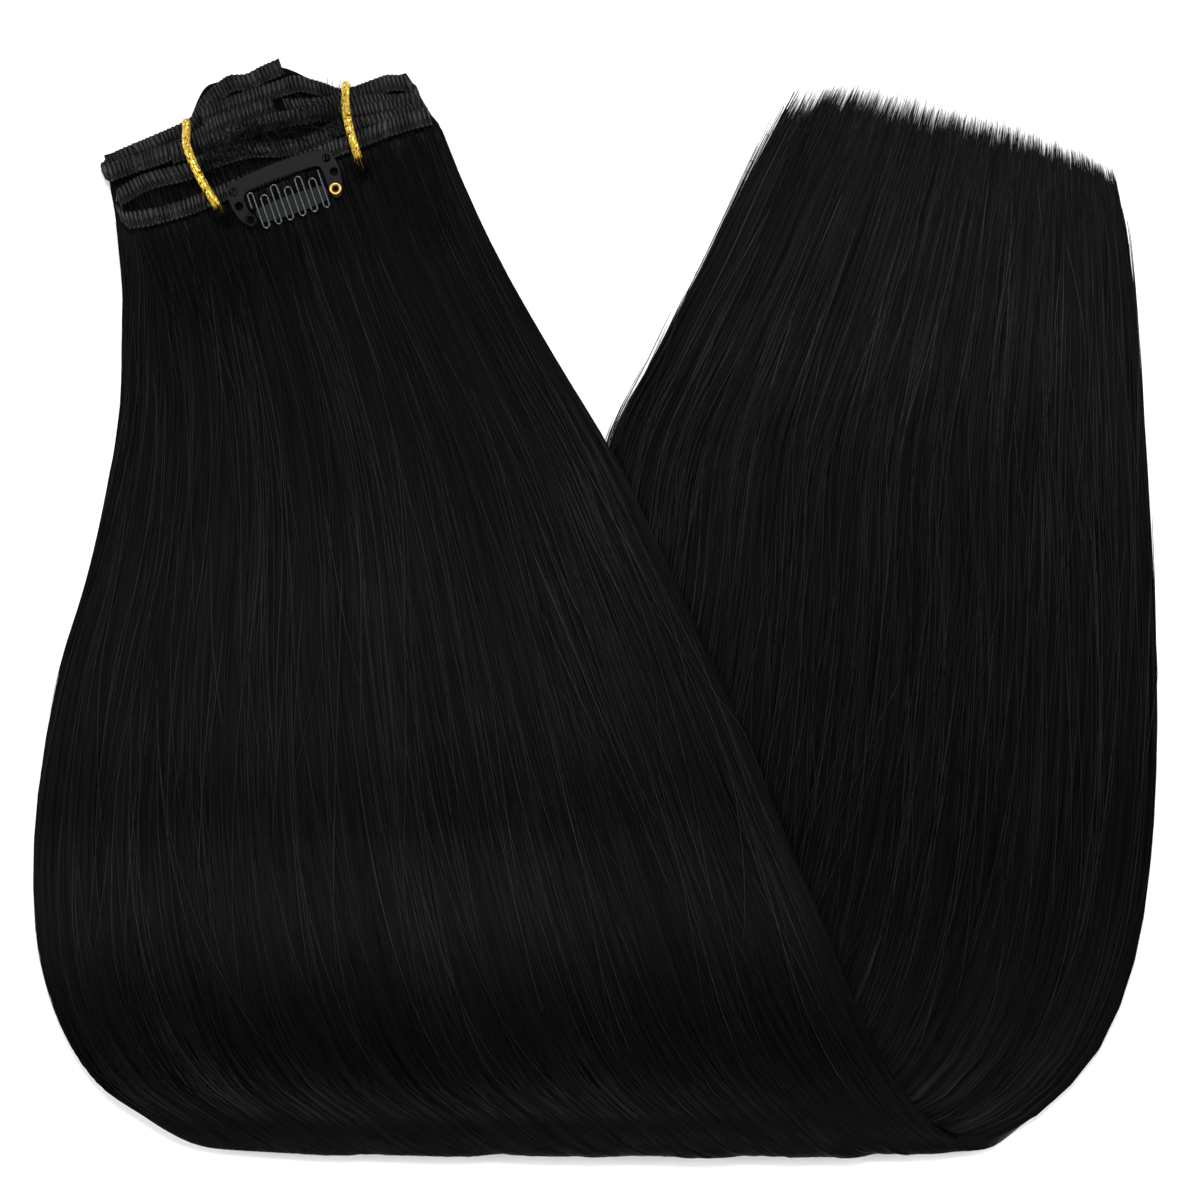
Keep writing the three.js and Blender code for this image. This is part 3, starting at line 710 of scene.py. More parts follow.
@dataclass
class BundleFrame:
    """The turned frame of the wefts and the clip, with its middle at the clip."""

    spread_width: float = 310.0
    spread_depth: float = 303.0
    middle_x: float = -0.274
    middle_y: float = 0.382
    turn: float = 19.0

    @property
    def across(self) -> np.ndarray:
        """The direction across the bundle."""
        return np.array([math.cos(math.radians(self.turn)), math.sin(math.radians(self.turn)), 0.0])

    @property
    def forward(self) -> np.ndarray:
        """The direction in which the hair leaves the wefts."""
        return np.array([math.sin(math.radians(self.turn)), -math.cos(math.radians(self.turn)), 0.0])

    def place(self, across: np.ndarray, forward: np.ndarray, z: np.ndarray) -> np.ndarray:
        """Turns places in the bundle's frame into the part's.

        Args:
            across: millimetres across.
            forward: millimetres forward.
            z: height in millimetres.

        Returns:
            The points, with the three coordinates last.
        """
        across, forward, z = np.broadcast_arrays(across, forward, z)
        middle = np.array([self.middle_x * self.spread_width, self.middle_y * self.spread_depth, 0.0])
        flat = middle + across[..., None] * self.across + forward[..., None] * self.forward
        return flat + z[..., None] * UP


@dataclass
class HairFall:
    """The fall of hair: a skin with locks on it, thousands of strands and loose single hairs."""

    fibre: HairFibre
    spread_width: float = 310.0
    spread_depth: float = 303.0
    layer_thickness: float = 4.6
    root_thickness: float = 11.8
    thinnest_edge: float = 0.9
    fold_reach: float = 7.0
    fold_lift: float = 7.0
    layer_gap: float = 0.8
    fold_steps: int = 6
    turn: float = 19.0
    columns: int = 161
    row_step: float = 3.4
    tip_fade: float = 6.0
    strands_over: int = 1800
    strands_under: int = 2300
    wave_end: tuple[float, float] = (-0.485, -0.44)
    swell_rise: tuple[float, float] = (0.24, 0.4)
    swell_fall: tuple[float, float] = (0.6, 0.8)
    block_share: float = 0.6
    block_crown: float = 0.35
    layer_crown: float = 0.6
    side_lift: float = 0.62
    lift_crown: float = 0.7
    roots_at: float = 27.0
    lowest_strand: float = 0.05
    stray: float = 0.008
    strand_roll: float = 28.0
    loose_roll: float = 50.0
    wave_places: tuple[float, ...] = (0.09, -0.165, -0.215, -0.32, -0.43)
    wave_heights: tuple[float, ...] = (0.0, 2.8, 1.2, 2.0, -1.2)
    under_places: tuple[float, ...] = (0.43, 0.12, -0.02, -0.25, -0.38, -0.46)
    under_heights: tuple[float, ...] = (0.0, 1.9, 1.9, 0.0, 0.0, 0.7)
    outer: np.ndarray = field(init=False)
    inner: np.ndarray = field(init=False)
    fold_start: int = field(init=False)
    fold_end: int = field(init=False)
    run: np.ndarray = field(init=False)

    def across_row(self, row: Row, t: np.ndarray) -> tuple[np.ndarray, np.ndarray]:
        """Gives the places across a row.

        Args:
            row: the row.
            t: shares of the way from its left end.

        Returns:
            The two floor coordinates, in millimetres.
        """
        plateau = smoothstep(t, *self.swell_rise) * (1 - smoothstep(t, *self.swell_fall))
        swell = row.swell * plateau
        turn = math.radians(self.turn)
        x = row.left_x + (row.right_x - row.left_x) * t - swell * math.sin(turn)
        y = row.left_y + (row.right_y - row.left_y) * t + swell * math.cos(turn) - row.bow * np.sin(np.pi * t)
        return x * self.spread_width, y * self.spread_depth

    def thickness(self, row: Row, full: float, t: np.ndarray, square: float) -> np.ndarray:
        """Gives the thickness across a row, thinner at the sides."""
        lens = row.edge + (1 - row.edge) * np.sin(np.pi * t) ** square
        return np.maximum(self.thinnest_edge, row.thick * full * lens)

    def shape(self) -> None:
        """Works out the two faces of the hair on a fine grid, from the roots to the tips."""
        t = np.linspace(0, 1, self.columns)
        lower = []
        for row in LOWER_ROWS:
            x, y = self.across_row(row, t)
            top = self.thickness(row, self.layer_thickness, t, self.layer_crown)
            wave = np.interp(y / self.spread_depth, self.under_places[::-1], self.under_heights[::-1])
            lower.append(np.stack([x, y, top + wave * np.sin(np.pi * t) ** 0.5], axis=-1))
        below = np.array(lower)
        upper_out, upper_in = [], []
        for row in UPPER_ROWS:
            x, y = self.across_row(row, t)
            rest = self.rest_height(below, x, y)
            rise = self.side_lift + (1 - self.side_lift) * np.sin(np.pi * t) ** self.lift_crown
            lifted = row.lift * self.fold_lift * rise
            bottom = np.maximum(rest, lifted)
            square = self.block_crown if row.thick > self.block_share else self.layer_crown
            top = bottom + self.thickness(row, self.root_thickness, t, square)
            upper_out.append(np.stack([x, y, top], axis=-1))
            upper_in.append(np.stack([x, y, bottom], axis=-1))
        fold_out, fold_in = self.roll(upper_out[-1], upper_in[-1], below[0])
        floor = below.copy()
        floor[..., 2] = 0
        outer = np.array(upper_out + fold_out + list(floor))
        inner = np.array(upper_in + fold_in + list(below))
        middle = (outer[:, self.columns // 2] + inner[:, self.columns // 2]) / 2
        places = even_places(middle, self.row_step)
        self.outer, self.inner = smooth_path(outer, places), smooth_path(inner, places)
        self.fold_start = int(np.searchsorted(places, len(UPPER_ROWS) - 1))
        self.fold_end = int(np.searchsorted(places, len(UPPER_ROWS) + self.fold_steps - 2))
        self.run = np.arange(len(places)) * self.row_step
        self.smooth_faces()
        self.add_waves(t)

    def rest_height(self, below: np.ndarray, x: np.ndarray, y: np.ndarray) -> np.ndarray:
        """Gives the height on which the upper layer rests.

        Args:
            below: the lower layer's places and tops.
            x: first floor coordinate.
            y: second floor coordinate.

        Returns:
            The height of its underside.
        """
        fine = smooth_path(below, np.linspace(0, len(below) - 1, 60)).reshape(-1, 3)[::2]
        apart = (x[:, None] - fine[None, :, 0]) ** 2 + (y[:, None] - fine[None, :, 1]) ** 2
        weight = np.exp(-apart / 4.0**2) + 1e-12
        top = (weight * fine[None, :, 2]).sum(axis=1) / weight.sum(axis=1)
        near = 1 - smoothstep(np.sqrt(apart.min(axis=1)), 2.0, 9.0)
        return near * (top + self.layer_gap)

    def roll(
        self, out_row: np.ndarray, in_row: np.ndarray, end: np.ndarray
    ) -> tuple[list[np.ndarray], list[np.ndarray]]:
        """Rolls the upper layer round the fold.

        Args:
            out_row: the upper layer's last top row.
            in_row: its last bottom row.
            end: the lower layer's first row.

        Returns:
            The outer rows and the inner rows of the fold.
        """
        outer, inner = [], []
        for i in range(1, self.fold_steps):
            angle = math.pi * i / self.fold_steps
            down = (1 - math.cos(angle)) / 2
            middle = (in_row[:, 2] + out_row[:, 2]) / 2 * (1 - down) + end[:, 2] / 2 * down
            half = ((out_row[:, 2] - in_row[:, 2]) * (1 - down) + end[:, 2] * down) / 2
            x = out_row[:, 0] + (end[:, 0] - out_row[:, 0]) * angle / math.pi
            y = out_row[:, 1] + (end[:, 1] - out_row[:, 1]) * down - self.fold_reach * math.sin(angle)
            side, rise = half * math.sin(angle), half * math.cos(angle)
            outer.append(np.stack([x, y - side, middle + rise], axis=-1))
            inner.append(np.stack([x, y + side, middle - rise], axis=-1))
        return outer, inner

    def smooth_faces(self) -> None:
        """Eases small steps in height along and across the upper layer."""
        for face in (self.outer, self.inner):
            z = face[: self.fold_start, :, 2]
            for _ in range(6):
                z[1:-1] = (z[:-2] + 2 * z[1:-1] + z[2:]) / 4
                z[:, 1:-1] = (z[:, :-2] + 2 * z[:, 1:-1] + z[:, 2:]) / 4

    def add_waves(self, t: np.ndarray) -> None:
        """Adds the locks and the slow waves that the combed hair keeps."""
        share = (self.run / self.run[-1])[:, None]
        across = t[None, :]
        wide = lattice_noise(across * 13 + 3 * lattice_noise(across * 3, share * 5, 4), share * 7, 11)
        narrow = lattice_noise(across * 42, share * 16, 12)
        fine = lattice_noise(across * 120, share * 26, 13)
        locks = 0.55 * wide + 0.3 * narrow + 0.12 * fine
        loose = 0.45 + 0.75 * smoothstep(share, 0.1, 0.6)
        side = np.minimum(1.0, 12 * np.minimum(across, 1 - across))
        relief = locks * loose * side
        slow = 0.5 * lattice_noise(across * 2.2, share * 15, 21)
        index = np.arange(len(self.run))[:, None]
        on_top = 1 - smoothstep(index, self.fold_end - 2, self.fold_end + 3)
        under = smoothstep(index, self.fold_start - 3, self.fold_start + 3)
        start = smoothstep(self.run[:, None], 30, 60)
        end = 1 - 0.6 * smoothstep(share, 0.93, 1.0)
        drift = 0.022 * lattice_noise(across * 4, share * 3, 22)
        drift = drift + 0.008 * lattice_noise(across * 18, share * 4, 23)
        depth = self.outer[..., 1] / self.spread_depth + drift
        places, heights = self.wave_places[::-1], self.wave_heights[::-1]
        before_fold = 1 - smoothstep(index, self.fold_start - 2, self.fold_start + 2)
        bands = np.interp(depth, places, heights) * before_fold * smoothstep(depth, *self.wave_end)
        for _ in range(5):
            bands[1:-1] = (bands[:-2] + 2 * bands[1:-1] + bands[2:]) / 4
        crown = np.sin(np.pi * across) ** 0.5
        self.outer = self.outer + self.normals(self.outer, 1) * ((relief + slow) * on_top * start)[..., None]
        self.outer[..., 2] += bands * crown
        low_relief = (relief + 0.6 * slow) * under * end
        self.inner = self.inner + self.normals(self.inner, -1) * low_relief[..., None]
        self.outer[..., 2] = np.maximum(self.outer[..., 2], 0.02)

    @staticmethod
    def normals(face: np.ndarray, sign: int) -> np.ndarray:
        """Gives unit normals of a grid, turned outward by sign."""
        along = np.gradient(face, axis=0)
        across = np.gradient(face, axis=1)
        made = np.cross(across, along) * -sign
        return made / np.maximum(np.linalg.norm(made, axis=-1, keepdims=True), 1e-9)

    def skin(self, finish: bpy.types.Material) -> bpy.types.Object:
        """Builds the closed body of the hair that the strands lie on."""
        index = np.arange(len(self.run))[:, None].astype(float)
        t = np.linspace(0, 1, self.columns)[None, :]
        last = len(self.run) - 1
        short = 6.0 + 1.2 * lattice_noise(t * 22, 0 * t, 41) + 15.0 * (1 - smoothstep(t, 0.02, 0.16))
        rows = index + smoothstep(index, last - 12, last) * (self.tip_reach(t) - short / self.row_step)
        spread = np.broadcast_to(t, rows.shape)
        faces_at = [self.sample(face, rows, spread) for face in (self.outer, self.inner)]
        thin = smoothstep(index, last - 14, last)[..., None] * 0.75
        faces_at[1] = faces_at[1] * (1 - thin) + faces_at[0] * thin
        rings = np.concatenate([faces_at[0], faces_at[1][:, ::-1]], axis=1)
        count, sides = rings.shape[:2]
        faces = loop_faces(count, sides, closed_run=False)
        j = np.arange(self.columns - 1)
        start = np.stack([j, sides - 1 - j, sides - 2 - j, j + 1], axis=-1)
        end = (start + (count - 1) * sides)[:, ::-1]
        width = np.linalg.norm(self.outer[:, -1] - self.outer[:, 0], axis=-1)
        half = np.linspace(0, 1, self.columns)
        u = np.concatenate([half, half[::-1] + 2])[None, :] * width.mean()
        coords = np.stack(np.broadcast_arrays(u, self.run[:, None]), axis=-1)
        return make_piece(
            "hair_body", rings, np.concatenate([faces, start, end]), finish,
            Body.BUNDLE, ("hair_fall",), coords,
        )

    @staticmethod
    def tip_reach(t: np.ndarray) -> np.ndarray:
        """Gives the rows by which the cut end bulges past a straight line."""
        return 1.5 * np.interp(t, (0.0, 0.3, 0.55, 0.9, 1.0), (0.0, 0.25, 0.55, 1.15, 0.9))

    def cut_depth(self, rng: np.random.Generator, count: int, cover: float) -> np.ndarray:
        """Draws by how many rows hairs stop short of the longest, so that the cut edge fades out evenly.

        Args:
            rng: the source of random numbers.
            count: how many hairs.
            cover: how many times the hairs cover the width that they lie on.

        Returns:
            The depths, in rows.
        """
        share = rng.uniform(0, 1, count)
        return (self.tip_fade * (1 - np.exp(-cover * share)) + 5.0 * share) / self.row_step

    def sample(self, face: np.ndarray, rows: np.ndarray, t: np.ndarray) -> np.ndarray:
        """Reads a grid at fractional rows and shares across.

        Args:
            face: the grid.
            rows: fractional row indices.
            t: shares across, in the same shape.

        Returns:
            The points.
        """
        i = np.clip(np.floor(rows).astype(int), 0, face.shape[0] - 2)
        c = np.clip(t, 0, 1) * (self.columns - 1)
        j = np.clip(np.floor(c).astype(int), 0, self.columns - 2)
        fi, fj = (rows - i)[..., None], (c - j)[..., None]
        low = face[i, j] * (1 - fj) + face[i, j + 1] * fj
        high = face[i + 1, j] * (1 - fj) + face[i + 1, j + 1] * fj
        return low * (1 - fi) + high * fi

    def strands(
        self,
        name: str,
        finish: bpy.types.Material,
        face: np.ndarray,
        sign: int,
        count: int,
        along: np.ndarray,
        span: Callable[[np.ndarray, np.random.Generator], tuple[np.ndarray, np.ndarray]],
        seed: int,
        height: tuple[float, float] = (0.04, 0.5),
        width: tuple[float, float] = (0.14, 0.34),
        reach: float = 0.005,
    ) -> bpy.types.Object:
        """Lays strands over one face of the hair.

        Args:
            name: the piece's name.
            finish: the material.
            face: the grid of the face.
            sign: which way is out.
            count: how many strands.
            along: the shares along each strand at which it has points.
            span: gives first and last row of each strand from its share across.
            seed: the random seed.
            height: lowest and highest lift over the face.
            width: narrowest and widest strand.
            reach: how far across a strand wanders, as a share.

        Returns:
            The piece.
        """
        rng = np.random.default_rng(seed)
        t0 = np.clip(rng.uniform(-0.004, 1.004, count), 0, 1)
        first, last = span(t0, rng)
        along = along[None, :]
        rows = first[:, None] + (last - first)[:, None] * along
        wander = lattice_noise(t0[:, None] * 60, rows / 22, seed + 1) * reach
        wander = wander + lattice_noise(np.arange(count)[:, None] * 1.7, rows / 30, seed + 2) * reach
        stray = rng.normal(0, self.stray, count)[:, None] * (along - 0.5)
        t = t0[:, None] + wander + stray
        normal_grid = self.normals(face, sign)
        points = self.sample(face, rows, t)
        normal = self.sample(normal_grid, rows, t)
        uneven = 0.6 + 0.4 * lattice_noise(t0[:, None] * 300, rows / 12, seed + 3)
        lift = rng.uniform(*height, count)[:, None] * uneven
        ease = np.minimum(1, 8 * np.minimum(along, 1 - along) + 0.15)
        points = points + normal * (lift * ease)[..., None]
        points[..., 2] = np.maximum(points[..., 2], self.lowest_strand)
        run_at = rows * self.row_step
        roll = math.radians(self.strand_roll)
        return lay_ribbons(name, finish, points, normal, rng.uniform(*width, count), rng, roll, run_at)

    def bed_height(self, bundle: BundleFrame, forward: np.ndarray) -> np.ndarray:
        """Gives the height of the hair in the middle of the bundle from the way forward."""
        line = self.outer[: self.fold_start // 2, self.columns // 2]
        away = line - bundle.place(np.array(0.0), np.array(0.0), np.array(0.0))
        return np.interp(forward, away @ bundle.forward, line[:, 2])

    def build(self) -> list[bpy.types.Object]:
        """Builds the skin, the strands of both arms and the loose hairs.

        Returns:
            The pieces.
        """
        self.shape()
        body = self.fibre.material("combed_hair_body", 0.5)
        strand = self.fibre.material("combed_hair_strands", 0.2)
        # Single loose hairs get a lighter copy of the hair: a painted highlight for the light that they
        # catch, standing free of the shaded mass.
        painted_lit_fibre = replace(self.fibre, dark="0a0a0a", light="252424", gloss=0.04)
        single = painted_lit_fibre.material("single_loose_hairs", 0.1)
        pieces = [self.skin(body)]
        root_row = self.roots_at / self.row_step
        total = len(self.run) - 1
        # Strands need more points where they turn round the fold.
        near = [0, self.fold_start - 2, self.fold_start]
        dense = np.interp(np.arange(0, self.fold_end + 1), near, [1.0, 1.0, 4.0])
        shares = np.arange(len(dense)) / len(dense)
        upper = np.interp(np.linspace(0, dense.sum(), 33), np.cumsum(dense), shares)
        lower = np.linspace(0, 1, 23)
        ends = np.linspace(0, 1, 7)

        def over(t: np.ndarray, rng: np.random.Generator) -> tuple[np.ndarray, np.ndarray]:
            """Strands of the upper arm run from the wefts to the underside of the fold."""
            start = root_row + rng.uniform(-1, 2, len(t))
            end = self.fold_end + rng.uniform(-3, 1, len(t))
            return start, end

        def under(t: np.ndarray, rng: np.random.Generator) -> tuple[np.ndarray, np.ndarray]:
            """Strands of the lower arm run from under the upper one to the ragged tips."""
            start = self.fold_end + 1 + (1 - t) * (total - self.fold_end) * 0.42
            start = start + rng.uniform(-4, 4, len(t))
            start = np.where(t > rng.uniform(0.74, 0.86, len(t)), self.fold_start + 3.0, start)
            corner = (1 - smoothstep(t, 0.0, 0.13)) * rng.uniform(0.0, 5.0, len(t))
            tip = total + self.tip_reach(t) + 1.25 - self.cut_depth(rng, len(t), 9.0) - corner
            return start, tip

        def tips(t: np.ndarray, rng: np.random.Generator) -> tuple[np.ndarray, np.ndarray]:
            """The finest ends fade out past the cut line."""
            start = total - rng.uniform(4, 9, len(t))
            corner = (1 - smoothstep(t, 0.0, 0.13)) * rng.uniform(0.0, 4.0, len(t))
            tip = total + self.tip_reach(t) + 1.45 - self.cut_depth(rng, len(t), 4.5) - corner
            return start, tip

        arms = (
            ("strands_over", self.outer, 1, self.strands_over, upper, over, 100, 3),
            ("strands_under", self.inner, -1, self.strands_under, lower, under, 200, 2),
        )
        for name, face, sign, count, along, span, seed, layers in arms:
            for k in range(layers):
                piece = self.strands(f"{name}_{k + 1}", strand, face, sign, count, along, span, seed + k)
                pieces.append(piece)
        fine = ((0.02, 0.4), (0.1, 0.16), 0.004)
        pieces.append(self.strands("fine_tips", strand, self.inner, -1, 3600, ends, tips, 210, *fine))
        loose = (
            ("loose_hairs_over", self.outer, 1, root_row, self.fold_start, 420, 301),
            ("loose_hairs_under", self.inner, -1, self.fold_end + 8, total - 2, 620, 302),
        )
        pieces += [self.flyaways(name, single, *rest) for name, *rest in loose]
        pieces.append(self.edge_hairs(strand, total))
        return pieces

    def flyaways(
        self,
        name: str,
        finish: bpy.types.Material,
        face: np.ndarray,
        sign: int,
        first: float,
        last: float,
        count: int,
        seed: int,
    ) -> bpy.types.Object:
        """Lays single loose hairs slantwise over the others.

        Args:
            name: the piece's name.
            finish: the material.
            face: the grid of the face.
            sign: which way is out.
            first: the first row on which they start.
            last: the row at which they end.
            count: how many hairs.
            seed: the random seed.

        Returns:
            The piece.
        """
        rng = np.random.default_rng(seed)
        along = np.linspace(0, 1, 18)[None, :]
        length = rng.uniform(12, 42, count)[:, None]
        start = first + rng.uniform(0, 1, count)[:, None] * (last - first - length)
        rows = start + length * along
        t = rng.uniform(0.01, 0.99, count)[:, None]
        slant = rng.normal(0, 0.028, count)[:, None] * along + rng.normal(0, 0.02, count)[:, None] * along**2
        normal_grid = self.normals(face, sign)
        inside = np.clip(t + slant, 0.0, 1.0)
        points = self.sample(face, rows, inside)
        normal = self.sample(normal_grid, rows, inside)
        lift = rng.uniform(0.4, 1.1, count)[:, None] * (0.4 + 0.6 * np.sin(np.pi * along))
        points = points + normal * lift[..., None]
        run_at = rows * self.row_step
        roll = math.radians(self.loose_roll)
        return lay_ribbons(name, finish, points, normal, rng.uniform(0.12, 0.22, count), rng, roll, run_at)

    def edge_hairs(self, finish: bpy.types.Material, total: int) -> bpy.types.Object:
        """Lays the hairs that stand off the edges, most of them at the loose end.

        Args:
            finish: the material.
            total: the last row.

        Returns:
            The piece.
        """
        rng = np.random.default_rng(311)
        along = np.linspace(0, 1, 16)[None, :]
        paths, normals, runs = [], [], []
        kinds = (
            (self.inner, -1, 150, (total - 70, total - 18), (14, 34), 0.0, 3.6),
            (self.inner, -1, 60, (total - 60, total - 14), (14, 30), 1.0, 1.8),
            (self.outer, 1, 50, (12.0, self.fold_start - 30.0), (14, 34), 0.0, 1.2),
            (self.outer, 1, 60, (12.0, self.fold_start - 40.0), (14, 34), 1.0, 1.3),
        )
        for face, sign, count, (low, high), (short, long), side, reach in kinds:
            start = rng.uniform(low, high, count)[:, None]
            rows = start + rng.uniform(short, long, count)[:, None] * along
            last = total - rng.uniform(0.3, 8.0, count)[:, None] if face is self.inner else self.fold_start
            rows = np.minimum(rows, last)
            inset = np.abs(rng.normal(0, 0.012, count))[:, None]
            t = np.abs(side - inset) * np.ones_like(along)
            across = np.gradient(face, axis=1)
            across = across / np.linalg.norm(across, axis=-1, keepdims=True) * (1 if side > 0.5 else -1)
            out = rng.uniform(0.1, 1, count)[:, None] ** 1.7 * reach * along**1.6
            points = self.sample(face, rows, t) + self.sample(across, rows, t) * out[..., None]
            normal = self.sample(self.normals(face, sign), rows, t)
            lift = rng.uniform(-0.8, 0.4, count)[:, None] * np.ones_like(along)
            paths.append(points + normal * lift[..., None])
            normals.append(normal)
            runs.append(rows * self.row_step)
        points, normal, run_at = np.concatenate(paths), np.concatenate(normals), np.concatenate(runs)
        points[..., 2] = np.maximum(points[..., 2], 0.15)
        up = np.broadcast_to(UP, normal.shape)
        width = rng.uniform(0.16, 0.3, len(points))
        return lay_ribbons("loose_hairs_edge", finish, points, up, width, rng, math.radians(30), run_at)


# The wefts


@dataclass(frozen=True)
class Pass:
    """One pass of weft: its level in the stack and its path in shares of the bundle width."""

    level: int
    points: tuple[tuple[float, float], ...]


PASSES = {
    "back": Pass(0, ((0.103, -0.357), (0.041, -0.352), (-0.008, -0.345), (-0.057, -0.358), (-0.097, -0.348),
                     (-0.152, -0.323), (-0.182, -0.302), (-0.215, -0.273), (-0.258, -0.266), (-0.347, -0.259),
                     (-0.46, -0.251), (-0.49, -0.243))),
    "back_upper": Pass(2, ((-0.492, -0.2165), (-0.46, -0.218), (-0.27, -0.218), (-0.184, -0.236),
                           (-0.133, -0.253), (0.043, -0.253))),
    "second": Pass(1, ((-0.184, -0.291), (-0.061, -0.296), (0.092, -0.293), (0.133, -0.289), (0.17, -0.268),
                       (0.21, -0.24), (0.247, -0.21), (0.285, -0.2), (0.356, -0.201), (0.402, -0.2),
                       (0.451, -0.18))),
    "second_upper": Pass(2, ((0.46, -0.125), (0.411, -0.134), (0.371, -0.149), (0.325, -0.162),
                             (0.279, -0.171), (0.241, -0.188), (0.169, -0.205), (0.103, -0.224),
                             (0.074, -0.236))),
    "middle": Pass(3, ((-0.307, -0.205), (-0.184, -0.204), (0, -0.204), (0.123, -0.187), (0.23, -0.163),
                       (0.285, -0.14), (0.466, -0.113))),
    "upper": Pass(4, ((0.478, -0.083), (0.285, -0.101), (0.225, -0.121), (0.186, -0.115), (0.149, -0.107),
                      (0.103, -0.102), (0, -0.12), (-0.081, -0.145), (-0.215, -0.151), (-0.273, -0.143),
                      (-0.402, -0.152), (-0.497, -0.135))),
    "front": Pass(5, ((-0.497, -0.061), (-0.439, -0.049), (-0.347, -0.041), (-0.285, -0.04), (-0.184, -0.046),
                      (0, -0.055), (0.153, -0.061), (0.285, -0.064), (0.368, -0.067), (0.485, -0.061))),
}


@dataclass
class Wefts:
    """The stack of folded wefts, each a ribbed band of machine sewn hair roots."""

    bundle: BundleFrame
    finish: bpy.types.Material
    bundle_width: float = 90.0
    width: float = 5.0
    thickness: float = 1.2
    pitch: float = 1.8
    lowest: float = 3.2
    rib_pitch: float = 1.27
    rib_height: float = 0.62
    station_step: float = 0.16
    tuft: int = 46
    curls: int = 240

    @property
    def stack(self) -> float:
        """The height of the top of the stack."""
        return self.lowest + self.pitch * 5 + self.thickness

    def stations(self, name: str) -> np.ndarray:
        """Gives even stations along a pass: across, forward and height.

        Args:
            name: the pass.

        Returns:
            The stations in millimetres.
        """
        run = PASSES[name]
        flat = np.array(run.points) * self.bundle_width
        path = smooth_path(flat, even_places(flat, self.station_step))
        height = self.lowest + self.pitch * run.level + self.thickness / 2
        return np.column_stack([path, np.full(len(path), height)])

    def strip(self, names: Sequence[str], side: int) -> np.ndarray:
        """Joins passes into one strip with folds between them.

        Args:
            names: one or two passes.
            side: the end at which it folds, -1 left and 1 right.

        Returns:
            The stations of the whole strip.
        """
        first = self.stations(names[0])
        if len(names) == 1:
            return first
        second = self.stations(names[1])
        start, end = first[-1], second[0]
        radius = abs(end[2] - start[2]) / 2
        steps = max(8, int(math.pi * radius / self.station_step))
        share = np.linspace(0, 1, steps + 1)[1:-1]
        turn = math.pi * share
        fold = start[None, :] + (end - start)[None, :] * share[:, None]
        fold[:, 0] += side * radius * np.sin(turn)
        fold[:, 2] = start[2] + (end[2] - start[2]) * (1 - np.cos(turn)) / 2
        return np.concatenate([first, fold, second])

    def band(
        self, name: str, stands_for: str, names: Sequence[str], side: int, seed: int
    ) -> bpy.types.Object:
        """Builds one ribbed strip of weft.

        Args:
            name: the piece's name.
            stands_for: the solid that it replaces.
            names: its passes.
            side: the end at which it folds.
            seed: the random seed.

        Returns:
            The piece.
        """
        at = self.strip(names, side)
        run = np.concatenate([[0], np.cumsum(np.linalg.norm(np.diff(at, axis=0), axis=1))])
        ahead = np.gradient(at[:, [0, 2]], axis=0)
        ahead /= np.linalg.norm(ahead, axis=1, keepdims=True)
        upright = np.sign(ahead[:, 0])
        upright = np.where(upright == 0, 1, upright)
        q = np.linspace(-1, 1, 15)
        bottom = q[::-1][3:-1:4]
        jitter = 0.5 * lattice_noise(run / 3.1, np.zeros_like(run), seed)
        slant = 0.22 + 0.25 * lattice_noise(run / 9.0, np.ones_like(run), seed + 1)
        phase = (run[:, None] + slant[:, None] * q[None, :]) / self.rib_pitch + jitter[:, None]
        rib = (0.5 - 0.5 * np.cos(2 * np.pi * phase)) ** 1.4
        uneven = 1 + 0.35 * lattice_noise(np.floor(phase), np.zeros_like(phase), seed + 2)
        seam = np.exp(-(((q + 0.42) / 0.12) ** 2)) + 0.8 * np.exp(-(((q - 0.3) / 0.12) ** 2))
        crown = (1 - np.abs(q) ** 4)[None, :]
        half = self.thickness / 2
        rise = half * (0.35 + 0.45 * crown) + self.rib_height * rib * uneven * (0.35 + 0.65 * crown)
        rise = rise - 0.16 * seam[None, :] * (1 - 0.4 * rib)
        beat = np.abs(np.sin(2 * np.pi * run / self.rib_pitch))[:, None]
        rise = rise + 0.28 * np.exp(-(((q - 0.86) / 0.13) ** 2))[None, :] * beat
        scallop = 0.22 * (rib[:, :1] - 0.5)
        wide = self.width / 2
        forward = q[None, :] * wide - scallop * (q[None, :] < -0.8)
        top = rise
        under = -half * 0.8 * (1 - np.abs(bottom) ** 4)[None, :] * np.ones_like(run)[:, None]
        ring_forward = np.concatenate([forward, np.broadcast_to(bottom * wide, under.shape)], axis=1)
        ring_out = np.concatenate([top, under], axis=1)
        ring_out = ring_out * upright[:, None]
        across = at[:, :1] - ahead[:, 1:] * ring_out
        height = at[:, 2:] + ahead[:, :1] * ring_out
        points = self.bundle.place(across, at[:, 1:2] + ring_forward, height)
        count, sides = points.shape[:2]
        faces = np.concatenate([loop_faces(count, sides, False), cap_fans(sides, count)])
        ring_phase = np.concatenate([phase, phase[:, 11:2:-4]], axis=1) + 50 * seed
        coords = np.stack([ring_phase * self.rib_pitch, ring_forward], axis=-1)
        return make_piece(
            name, points, faces, self.finish, Body.BUNDLE, (stands_for,), coords
        )

